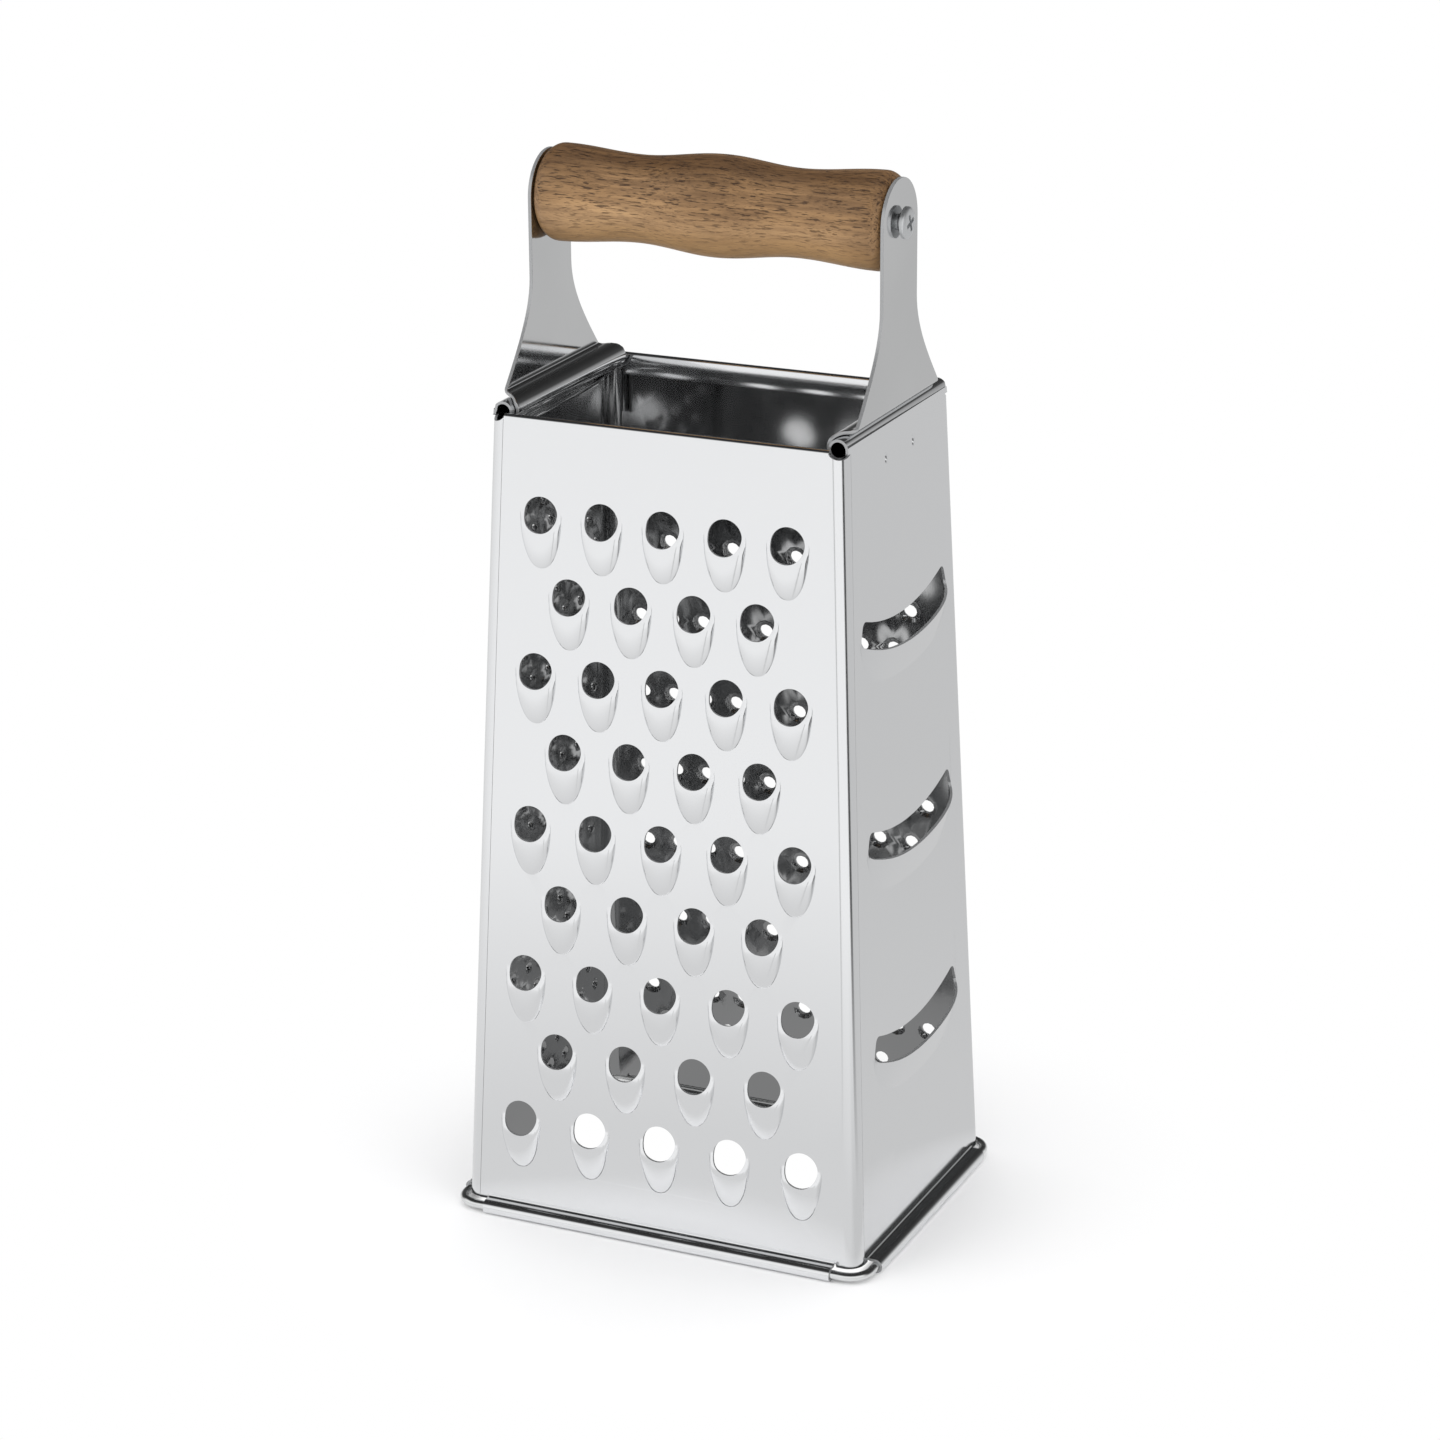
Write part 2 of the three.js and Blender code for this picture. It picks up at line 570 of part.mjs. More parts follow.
const front = { name: 'front_panel', halfWidth: rimHalfWidth, distance: rimHalfDepth, quarterTurns: 0 };
const right = { name: 'right_panel', halfWidth: rimHalfDepth, distance: rimHalfWidth, quarterTurns: 1 };
const back = { name: 'back_panel', halfWidth: rimHalfWidth, distance: rimHalfDepth, quarterTurns: 2 };
const left = { name: 'left_panel', halfWidth: rimHalfDepth, distance: rimHalfWidth, quarterTurns: 3 };
const medium = punchedPattern(rimHalfWidth, MEDIUM_HOLE, MEDIUM_PITCH, MEDIUM_ROW_PITCH, MEDIUM_SIDES);
const fine = punchedPattern(rimHalfDepth, FINE_HOLE, FINE_PITCH, FINE_ROW_PITCH, FINE_SIDES);

const grater = new THREE.Group();
grater.name = 'cheese_grater';
grater.add(wall({ ...front, ...coarsePattern(), rim: hemLine() }));
grater.add(wall({ ...right, ...slicingPattern(), rim: rollLine() }));
grater.add(wall({ ...back, ...medium, rim: hemLine() }));
grater.add(wall({ ...left, ...fine, rim: rollLine() }));
grater.add(baseWire());
grater.add(bracket('right_bracket', 1));
grater.add(bracket('left_bracket', 3));
grater.add(grip());
grater.add(screw('right_screw', 1));
grater.add(screw('left_screw', -1));

export default grater;
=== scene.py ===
"""Looks of a four-sided box grater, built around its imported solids.

Metres, +Z up. The coarse side faces -Y, the slicing side faces +X and the grip runs along X.
"""

import logging
import math
from dataclasses import dataclass
from enum import Enum
from typing import Callable, ClassVar, Iterable, Sequence, Union

import bmesh
import bpy
from mathutils import Matrix, Vector

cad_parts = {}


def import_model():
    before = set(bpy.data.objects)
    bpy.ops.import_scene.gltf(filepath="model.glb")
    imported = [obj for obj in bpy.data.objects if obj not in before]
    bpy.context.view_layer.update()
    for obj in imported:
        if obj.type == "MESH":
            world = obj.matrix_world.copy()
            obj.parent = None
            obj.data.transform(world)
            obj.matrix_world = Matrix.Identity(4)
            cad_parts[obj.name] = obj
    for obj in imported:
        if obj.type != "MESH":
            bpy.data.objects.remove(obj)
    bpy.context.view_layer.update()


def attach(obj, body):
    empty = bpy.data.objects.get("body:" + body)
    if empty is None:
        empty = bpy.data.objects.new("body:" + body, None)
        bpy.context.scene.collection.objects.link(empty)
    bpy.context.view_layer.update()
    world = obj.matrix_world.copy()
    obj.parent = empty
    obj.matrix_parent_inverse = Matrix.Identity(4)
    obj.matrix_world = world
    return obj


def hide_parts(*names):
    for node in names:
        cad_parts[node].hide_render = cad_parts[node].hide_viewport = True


LOG = logging.getLogger("grater")
MM = 0.001
OUTLINE = "outline"
Point = tuple[float, float, float]
Colour = Union[Point, bpy.types.NodeSocket]


class Side(Enum):
    """The four walls, each with its number of quarter turns from the front."""

    FRONT = 0
    RIGHT = 1
    BACK = 2
    LEFT = 3


class Rim(Enum):
    """How the top edge of a wall is finished."""

    HEM = "hem"
    ROLL = "roll"


@dataclass(frozen=True)
class Body:
    """Sizes shared by the walls, the brackets and the wire, in metres."""

    rim_height: float = 188.5 * MM
    half_width: float = 41.9 * MM
    half_depth: float = 30.4 * MM
    slope: float = 0.0388
    sheet: float = 0.6 * MM
    corner: float = 3.5 * MM
    seam: float = 0.08 * MM
    wire_offset: float = 1.6 * MM
    wire_radius: float = 1.0 * MM
    wire_corner: float = 5.0 * MM
    bead_height: float = 1.65 * MM
    bead_radius: float = 1.65 * MM
    cove: float = 0.5 * MM
    roll_radius: float = 2.3 * MM
    roll_height: float = 188.3 * MM
    grip_height: float = 231.5 * MM

    @property
    def foot_height(self) -> float:
        """Height at which the wall starts to flare into its cove."""
        return self.bead_height + self.bead_radius + self.cove

    def spread(self, height: float) -> float:
        """How far the wall stands outside its rim at a height."""
        return self.slope * (self.rim_height - height)


BODY = Body()


def bare_scene() -> None:
    """Leaves edit mode and deselects everything."""
    if bpy.context.object is not None and bpy.context.object.mode != "OBJECT":
        bpy.ops.object.mode_set(mode="OBJECT")
    bpy.ops.object.select_all(action="DESELECT")


def edit(obj: bpy.types.Object, mode: str = "EDGE") -> None:
    """Opens one object in edit mode with nothing selected.

    Args:
        obj: The object to work on.
        mode: The kind of element to select.
    """
    bare_scene()
    obj.select_set(True)
    bpy.context.view_layer.objects.active = obj
    bpy.ops.object.mode_set(mode="EDIT")
    bpy.ops.mesh.select_mode(type=mode)
    bpy.ops.mesh.select_all(action="DESELECT")


def pick_edges(obj: bpy.types.Object, wanted: Callable[[Vector, Vector], bool]) -> int:
    """Selects the edges of an object in edit mode by the place of their ends.

    Args:
        obj: The object in edit mode.
        wanted: Says whether an edge with these two ends is taken.

    Returns:
        The number of edges taken.
    """
    mesh = bmesh.from_edit_mesh(obj.data)
    taken = 0
    for edge in mesh.edges:
        if wanted(edge.verts[0].co, edge.verts[1].co):
            edge.select_set(True)
            taken += 1
    bmesh.update_edit_mesh(obj.data)
    return taken


def spin(steps: int, degrees: float, centre: Point, axis: Sequence[float]) -> None:
    """Sweeps the selected edges round an axis, right-handed for positive angles.

    Args:
        steps: Number of sections.
        degrees: Angle swept.
        centre: A point on the axis.
        axis: Direction of the axis.
    """
    bpy.ops.mesh.spin(steps=steps, angle=-math.radians(degrees), center=centre, axis=axis)


def place_points(obj: bpy.types.Object, rule: Callable[[Vector], Sequence[float]]) -> None:
    """Moves every point of an object by a rule, as a press does with a blank.

    Args:
        obj: The object, in object mode.
        rule: Gives the new place of a point.
    """
    for point in obj.data.vertices:
        point.co = rule(point.co)
    obj.data.update()


def ring(name: str, points: Sequence[Point], closed: bool = True) -> bpy.types.Object:
    """Makes a loop of edges through the points, from a circle with as many corners.

    Args:
        name: The object's name.
        points: The corners in order.
        closed: Whether the last corner joins the first.

    Returns:
        The new object, all its points in the outline group.
    """
    bare_scene()
    bpy.ops.mesh.primitive_circle_add(vertices=len(points), radius=1.0, fill_type="NOTHING")
    obj = bpy.context.object
    obj.name = name
    for point, corner in zip(obj.data.vertices, points):
        point.co = corner
    if not closed:
        edit(obj)
        last = len(points) - 1
        mesh = bmesh.from_edit_mesh(obj.data)
        for edge in mesh.edges:
            if {edge.verts[0].index, edge.verts[1].index} == {0, last}:
                edge.select_set(True)
        bmesh.update_edit_mesh(obj.data)
        bpy.ops.mesh.delete(type="EDGE")
        bare_scene()
    group_points(obj, range(len(points)))
    return obj


def group_points(obj: bpy.types.Object, indices: Iterable[int]) -> None:
    """Puts points into the outline group, whose loops bound the flat sheet."""
    group = obj.vertex_groups.get(OUTLINE) or obj.vertex_groups.new(name=OUTLINE)
    group.add(list(indices), 1.0, "REPLACE")


def join(parts: Sequence[bpy.types.Object], name: str) -> bpy.types.Object:
    """Joins objects into the first of them.

    Args:
        parts: The objects to join.
        name: The name of the result.

    Returns:
        The joined object.
    """
    bare_scene()
    for part in parts:
        part.select_set(True)
    bpy.context.view_layer.objects.active = parts[0]
    bpy.ops.object.join()
    parts[0].name = name
    parts[0].data.name = name
    return parts[0]


def fill_sheet(obj: bpy.types.Object, outward: Vector) -> None:
    """Fills the flat sheet between all loops of the outline group and faces it outward.

    Args:
        obj: The joined loops and punches.
        outward: The side that the sheet's face looks to.
    """
    edit(obj)
    bpy.ops.mesh.select_mode(type="VERT")
    bpy.ops.mesh.select_all(action="SELECT")
    bpy.ops.mesh.remove_doubles(threshold=1e-6)
    bpy.ops.mesh.select_all(action="DESELECT")
    obj.vertex_groups.active_index = obj.vertex_groups[OUTLINE].index
    bpy.ops.object.vertex_group_select()
    bpy.ops.mesh.select_mode(type="EDGE")
    bpy.ops.mesh.fill(use_beauty=True)
    bpy.ops.mesh.select_all(action="SELECT")
    bpy.ops.mesh.normals_make_consistent(inside=False)
    mesh = bmesh.from_edit_mesh(obj.data)
    mesh.normal_update()
    largest = max(mesh.faces, key=lambda face: face.calc_area())
    if largest.normal.dot(outward) < 0.0:
        bpy.ops.mesh.flip_normals()
    bare_scene()


def use_modifier(obj: bpy.types.Object, kind: str, **settings: object) -> None:
    """Adds a modifier with its settings and applies it.

    Args:
        obj: The piece.
        kind: The kind of modifier.
        **settings: Its properties by name.
    """
    bare_scene()
    obj.select_set(True)
    bpy.context.view_layer.objects.active = obj
    modifier = obj.modifiers.new(kind.lower(), kind)
    for key, value in settings.items():
        setattr(modifier, key, value)
    bpy.ops.object.modifier_apply(modifier=modifier.name)


def smooth(obj: bpy.types.Object, degrees: float = 38.0, weighted: bool = True) -> None:
    """Smooths a piece up to an angle, with flat areas keeping their own normals.

    Args:
        obj: The piece.
        degrees: Edges sharper than this stay sharp.
        weighted: Whether large faces rule the normals at their corners.
    """
    bare_scene()
    obj.select_set(True)
    bpy.context.view_layer.objects.active = obj
    bpy.ops.object.shade_smooth_by_angle(angle=math.radians(degrees), keep_sharp_edges=True)
    if weighted:
        use_modifier(obj, "WEIGHTED_NORMAL", mode="FACE_AREA", keep_sharp=True)


def thicken(obj: bpy.types.Object, finishes: Sequence["Finish"], thickness: float, offset: float) -> None:
    """Gives a bent sheet its thickness, with its own finish on each face and on its cut edges.

    Args:
        obj: The sheet.
        finishes: Finish of the face, of the far face and of the cut edges.
        thickness: Thickness of the sheet.
        offset: -1 to grow inwards, 0 to grow both ways.
    """
    obj.data.materials.clear()
    for finish in finishes:
        obj.data.materials.append(finish.material())
    use_modifier(
        obj,
        "SOLIDIFY",
        thickness=thickness,
        offset=offset,
        use_even_offset=True,
        use_rim=True,
        material_offset=1,
        material_offset_rim=2,
    )


def turn_about_z(obj: bpy.types.Object, quarter_turns: int) -> None:
    """Turns a finished piece about the upright axis and applies the turn.

    Args:
        obj: The piece.
        quarter_turns: Number of quarter turns.
    """
    bare_scene()
    obj.select_set(True)
    bpy.context.view_layer.objects.active = obj
    obj.rotation_euler = (0.0, 0.0, quarter_turns * math.pi / 2)
    bpy.ops.object.transform_apply(location=True, rotation=True, scale=True)


def hand_over(obj: bpy.types.Object, finish: "Finish", body: str, node: str) -> None:
    """Dresses a finished piece and lets it stand for its solid.

    Args:
        obj: The piece.
        finish: The finish it gets, unless it is dressed already.
        body: The body it rides on.
        node: The solid it replaces.
    """
    obj.vertex_groups.clear()
    if not obj.data.materials:
        obj.data.materials.append(finish.material())
    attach(obj, body)
    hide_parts(node)
    LOG.info("%s: %d faces", obj.name, len(obj.data.polygons))


@dataclass(frozen=True)
class Finish:
    """A surface finish, made once as a material."""

    name: str

    def material(self) -> bpy.types.Material:
        """Gives the finish's material, made the first time it is asked for.

        Returns:
            The material.
        """
        known = bpy.data.materials.get(self.name)
        if known is not None:
            return known
        material = bpy.data.materials.new(self.name)
        material.use_nodes = True
        self.dress(material.node_tree)
        return material

    def dress(self, tree: bpy.types.NodeTree) -> None:
        """Lays out the finish's nodes in a new material."""
        raise NotImplementedError


class Nodes:
    """A short hand for laying out and linking the nodes of one material."""

    def __init__(self, tree: bpy.types.NodeTree) -> None:
        """Keeps the tree and finds its main shader.

        Args:
            tree: The nodes of a material or of the world.
        """
        self.tree = tree
        self.shader = next((n for n in tree.nodes if n.type == "BSDF_PRINCIPLED"), None)
        self.place = self.add("ShaderNodeTexCoord").outputs["Object"]

    def add(self, kind: str, **settings: object) -> bpy.types.Node:
        """Adds a node and sets its properties.

        Args:
            kind: The kind of node.
            **settings: Its properties by name.

        Returns:
            The new node.
        """
        node = self.tree.nodes.new(kind)
        for key, value in settings.items():
            setattr(node, key, value)
        return node

    def join(self, start: bpy.types.NodeSocket, end: bpy.types.NodeSocket) -> None:
        """Links two sockets."""
        self.tree.links.new(start, end)

    def stretched(self, scale: Point) -> bpy.types.NodeSocket:
        """Scales the object coordinates along each axis.

        Args:
            scale: Scale along x, y and z.

        Returns:
            The scaled coordinates.
        """
        node = self.add("ShaderNodeMapping")
        node.inputs["Scale"].default_value = scale
        self.join(self.place, node.inputs["Vector"])
        return node.outputs["Vector"]

    def noise(self, scale: Point, detail: float, roughness: float = 0.5) -> bpy.types.NodeSocket:
        """Lays a noise pattern on scaled object coordinates.

        Args:
            scale: Scale along x, y and z.
            detail: Number of finer layers.
            roughness: Weight of the finer layers.

        Returns:
            The noise value.
        """
        node = self.add("ShaderNodeTexNoise")
        node.inputs["Scale"].default_value = 1.0
        node.inputs["Detail"].default_value = detail
        node.inputs["Roughness"].default_value = roughness
        self.join(self.stretched(scale), node.inputs["Vector"])
        return node.outputs["Fac"]

    def levels(
        self, value: bpy.types.NodeSocket, low: float, high: float, to_low: float, to_high: float
    ) -> bpy.types.NodeSocket:
        """Maps a range of values onto another, held at both ends.

        Args:
            value: The value to map.
            low: Where the range starts.
            high: Where the range ends.
            to_low: Result at the start.
            to_high: Result at the end.

        Returns:
            The mapped value.
        """
        node = self.add("ShaderNodeMapRange", clamp=True)
        for key, number in zip(("From Min", "From Max", "To Min", "To Max"), (low, high, to_low, to_high)):
            node.inputs[key].default_value = number
        self.join(value, node.inputs["Value"])
        return node.outputs["Result"]

    def ramp(self, value: bpy.types.NodeSocket, stops: Sequence[tuple[float, Point]]) -> bpy.types.NodeSocket:
        """Turns a value into colour through a row of stops.

        Args:
            value: The value, 0 to 1.
            stops: Position and colour of each stop.

        Returns:
            The colour.
        """
        node = self.add("ShaderNodeValToRGB")
        elements = node.color_ramp.elements
        while len(elements) < len(stops):
            elements.new(0.5)
        for element, (position, colour) in zip(elements, stops):
            element.position = position
            element.color = (*colour, 1.0)
        self.join(value, node.inputs["Fac"])
        return node.outputs["Color"]

    def grey_ramp(
        self, value: bpy.types.NodeSocket, stops: Sequence[tuple[float, float]]
    ) -> bpy.types.NodeSocket:
        """Turns a value into grey through a row of stops of position and level."""
        return self.ramp(value, [(position, (level, level, level)) for position, level in stops])

    def mixed(
        self, amount: bpy.types.NodeSocket, first: Colour, second: Colour, blend: str = "MIX"
    ) -> bpy.types.NodeSocket:
        """Mixes two colours by an amount.

        Args:
            amount: 0 for the first colour and 1 for the second.
            first: The first colour.
            second: The second colour.
            blend: How the second colour is laid over the first.

        Returns:
            The mixed colour.
        """
        node = self.add("ShaderNodeMix", data_type="RGBA", blend_type=blend)
        self.join(amount, node.inputs["Factor"])
        for socket, value in ((node.inputs[6], first), (node.inputs[7], second)):
            if isinstance(value, bpy.types.NodeSocket):
                self.join(value, socket)
            else:
                socket.default_value = (*value, 1.0)
        return node.outputs[2]

    def product(self, first: bpy.types.NodeSocket, second: bpy.types.NodeSocket) -> bpy.types.NodeSocket:
        """Multiplies two values."""
        return self.math("MULTIPLY", first, second)

    def larger(self, first: bpy.types.NodeSocket, second: bpy.types.NodeSocket) -> bpy.types.NodeSocket:
        """Takes the larger of two values."""
        return self.math("MAXIMUM", first, second)

    def math(
        self, kind: str, first: bpy.types.NodeSocket, second: bpy.types.NodeSocket
    ) -> bpy.types.NodeSocket:
        """Works out one value from two.

        Args:
            kind: The operation.
            first: The first value.
            second: The second value.

        Returns:
            The result.
        """
        node = self.add("ShaderNodeMath", operation=kind)
        self.join(first, node.inputs[0])
        self.join(second, node.inputs[1])
        return node.outputs[0]

    def blended(
        self, amount: bpy.types.NodeSocket, first: bpy.types.NodeSocket, second: bpy.types.NodeSocket
    ) -> bpy.types.NodeSocket:
        """Blends two shaders by an amount.

        Args:
            amount: 0 for the first shader and 1 for the second.
            first: The first shader.
            second: The second shader.

        Returns:
            The blended shader.
        """
        node = self.add("ShaderNodeMixShader")
        self.join(amount, node.inputs[0])
        self.join(first, node.inputs[1])
        self.join(second, node.inputs[2])
        return node.outputs[0]

    def bump(self, layers: Sequence[tuple[bpy.types.NodeSocket, float, float]]) -> None:
        """Stacks bumps onto the main shader.

        Args:
            layers: Height, strength and depth in metres of each bump.
        """
        last = None
        for height, strength, depth in layers:
            node = self.add("ShaderNodeBump")
            node.inputs["Strength"].default_value = strength
            node.inputs["Distance"].default_value = depth
            self.join(height, node.inputs["Height"])
            if last is not None:
                self.join(last, node.inputs["Normal"])
            last = node.outputs["Normal"]
        self.join(last, self.shader.inputs["Normal"])


@dataclass(frozen=True)
class SteelFinish(Finish):
    """Stainless steel: its tone, how sharp its reflections are and the lines left by its making."""

    tone: Point = (0.84, 0.845, 0.85)
    gloss: tuple[float, float] = (0.005, 0.016)
    lines: Point = (900.0, 900.0, 60.0)
    line_depth: float = 0.0000015
    wave_depth: float = 0.00004
    metallic: float = 1.0

    def dress(self, tree: bpy.types.NodeTree) -> None:
        """Lays out tone, roughness and bump of the steel.

        Args:
            tree: The new material's nodes.
        """
        nodes = Nodes(tree)
        cloud = nodes.noise((22.0, 22.0, 22.0), 3.0)
        grain = nodes.noise(self.lines, 4.0, 0.6)
        wave = nodes.noise((14.0, 14.0, 14.0), 1.0)
        smudge = nodes.noise((55.0, 55.0, 40.0), 5.0, 0.6)
        darker = tuple(0.94 * c for c in self.tone)
        tint = nodes.mixed(nodes.levels(cloud, 0.35, 0.65, 0.0, 1.0), darker, self.tone)
        nodes.join(tint, nodes.shader.inputs["Base Color"])
        nodes.shader.inputs["Metallic"].default_value = self.metallic
        low, high = self.gloss
        nodes.join(nodes.levels(smudge, 0.35, 0.7, low, high), nodes.shader.inputs["Roughness"])
        nodes.bump([(wave, 0.5, self.wave_depth), (grain, 0.5, self.line_depth)])


@dataclass(frozen=True)
class WoodFinish(Finish):
    """Oiled brown hardwood with its grain along the grip."""

    light: Point = (0.53, 0.32, 0.15)
    middle: Point = (0.37, 0.213, 0.092)
    dark: Point = (0.115, 0.056, 0.023)
    pore: Point = (0.055, 0.026, 0.012)
    # Colour multiplied over the grip as painted shade on its top (up to crown_height above the axis); it also
    # darkens the grip towards both ends, from ends_from to ends_to.
    shade: Point = (0.46, 0.42, 0.38)
    centre: float = BODY.grip_height
    crown_height: float = 9.5 * MM
    ends_from: float = 31.0 * MM
    ends_to: float = 39.5 * MM

    def dress(self, tree: bpy.types.NodeTree) -> None:
        """Lays out growth bands, fibres, pores and the worn gloss, with painted shade on the top, a darkening
        towards both ends and painted light on the underside.

        Args:
            tree: The new material's nodes.
        """
        nodes = Nodes(tree)
        bands = nodes.noise((9.0, 95.0, 70.0), 3.0, 0.55)
        fibres = nodes.noise((45.0, 900.0, 900.0), 4.0, 0.65)
        patches = nodes.noise((18.0, 40.0, 40.0), 2.0)
        pores = nodes.noise((240.0, 2600.0, 2600.0), 2.0, 0.5)
        flecks = nodes.noise((480.0, 4200.0, 4200.0), 1.0, 0.5)
        rings = [(0.28, self.dark), (0.45, self.middle), (0.62, self.light), (0.8, self.middle)]
        base = nodes.ramp(bands, rings)
        fibre = nodes.levels(fibres, 0.38, 0.66, 0.0, 0.62)
        streaked = nodes.mixed(fibre, base, self.dark)
        patched = nodes.mixed(nodes.levels(patches, 0.45, 0.75, 0.0, 0.35), streaked, self.light)
        pore_mask = nodes.levels(pores, 0.57, 0.65, 0.0, 0.82)
        pored = nodes.mixed(pore_mask, patched, self.pore)
        fleck_mask = nodes.levels(flecks, 0.57, 0.68, 0.0, 0.55)
        flecked = nodes.mixed(fleck_mask, pored, self.pore)
        split = nodes.add("ShaderNodeSeparateXYZ")
        nodes.join(nodes.place, split.inputs[0])
        # Painted shade: the top of the grip is darkened with the shade colour, and the grip is also made
        # darker towards both ends.
        crown = nodes.levels(split.outputs["Z"], self.centre, self.centre + self.crown_height, 0.0, 1.0)
        # Painted light: the underside of the grip is lightened towards the light wood colour where the lamps
        # leave it in shade.
        under = nodes.levels(split.outputs["Z"], self.centre + 0.001, self.centre - 0.007, 0.0, 0.6)
        along = split.outputs["X"]
        ends = [nodes.levels(along, side * self.ends_from, side * self.ends_to, 0.0, 0.6) for side in (-1, 1)]
        painted_underlight = nodes.mixed(under, flecked, self.light)
        shaded = nodes.mixed(nodes.larger(crown, nodes.larger(*ends)), painted_underlight, self.shade, "MULTIPLY")
        nodes.join(shaded, nodes.shader.inputs["Base Color"])
        nodes.join(nodes.levels(fibres, 0.3, 0.7, 0.36, 0.52), nodes.shader.inputs["Roughness"])
        nodes.shader.inputs["Specular IOR Level"].default_value = 0.4
        nodes.bump([(fibres, 0.35, 0.00015), (nodes.levels(pores, 0.6, 0.68, 1.0, 0.0), 0.6, 0.0002)])


POLISHED = SteelFinish("polished_sheet")
INSIDE = SteelFinish("inner_sheet", (0.55, 0.555, 0.56), (0.09, 0.15), wave_depth=0.00001)
SATIN = SteelFinish("satin_sheet", (0.7, 0.705, 0.71), (0.06, 0.11), (60.0, 1400.0, 90.0), 0.000012, 0.00006)
CUT_EDGE = SteelFinish(
    "cut_edge", (0.4, 0.405, 0.41), (0.2, 0.3), (1200.0, 1200.0, 300.0), 0.00002, 0.00003, metallic=0.5
)
WIRE = SteelFinish("drawn_wire", (0.82, 0.83, 0.83), (0.14, 0.22), (300.0, 300.0, 300.0), 0.00001, 0.00003)
SCREW = SteelFinish("screw_steel", (0.62, 0.63, 0.64), (0.13, 0.22), (700.0, 700.0, 700.0), 0.00001, 0.00003)
WOOD = WoodFinish("oiled_wood")


@dataclass
class Punch:
    """One punched form: concentric rings pressed from a flat blank."""

    corners: int
    rings: tuple[float, ...]

    def blank(self, name: str) -> bpy.types.Object:
        """Makes the flat rings, from radius 1 at the hole to 2 at the outline, in the plane y = 0.

        Args:
            name: The object's name.

        Returns:
            The blank, its outer ring in the outline group.
        """
        bare_scene()
        bpy.ops.mesh.primitive_circle_add(vertices=self.corners, radius=1.0, fill_type="NOTHING")
        obj = bpy.context.object
        obj.name = name
        bpy.ops.object.mode_set(mode="EDIT")
        bpy.ops.mesh.select_all(action="SELECT")
        radius = 1.0
        for larger in self.rings:
            grow = larger / radius
            bpy.ops.mesh.extrude_edges_move()
            bpy.ops.transform.resize(value=(grow, grow, grow), center_override=(0.0, 0.0, 0.0))
            radius = larger
        bare_scene()
        group_points(obj, [v.index for v in obj.data.vertices if v.co.length > self.rings[-1] - 1e-4])
        return obj

    def pressed(
        self, blank: bpy.types.Object, across: float, height: float, rule: Callable[[float, float], Point]
    ) -> bpy.types.Object:
        """Copies the blank and presses it into its form at a place on the wall.

        Args:
            blank: The flat rings.
            across: Place along the wall.
            height: Place up the wall.
            rule: Gives (across, outward, up) from the angle and the share from hole to outline.

        Returns:
            The pressed copy.
        """
        copy = blank.copy()
        copy.data = blank.data.copy()
        bpy.context.collection.objects.link(copy)

        def press(point: Vector) -> Point:
            """Places one point of the blank.

            Args:
                point: The point on the flat rings.

            Returns:
                Its place on the wall.
            """
            share = min(max(point.xy.length - 1.0, 0.0), 1.0)
            right, out, up = rule(math.atan2(point.y, point.x), share)
            return (across + right, -out, height + up)

        place_points(copy, press)
        return copy


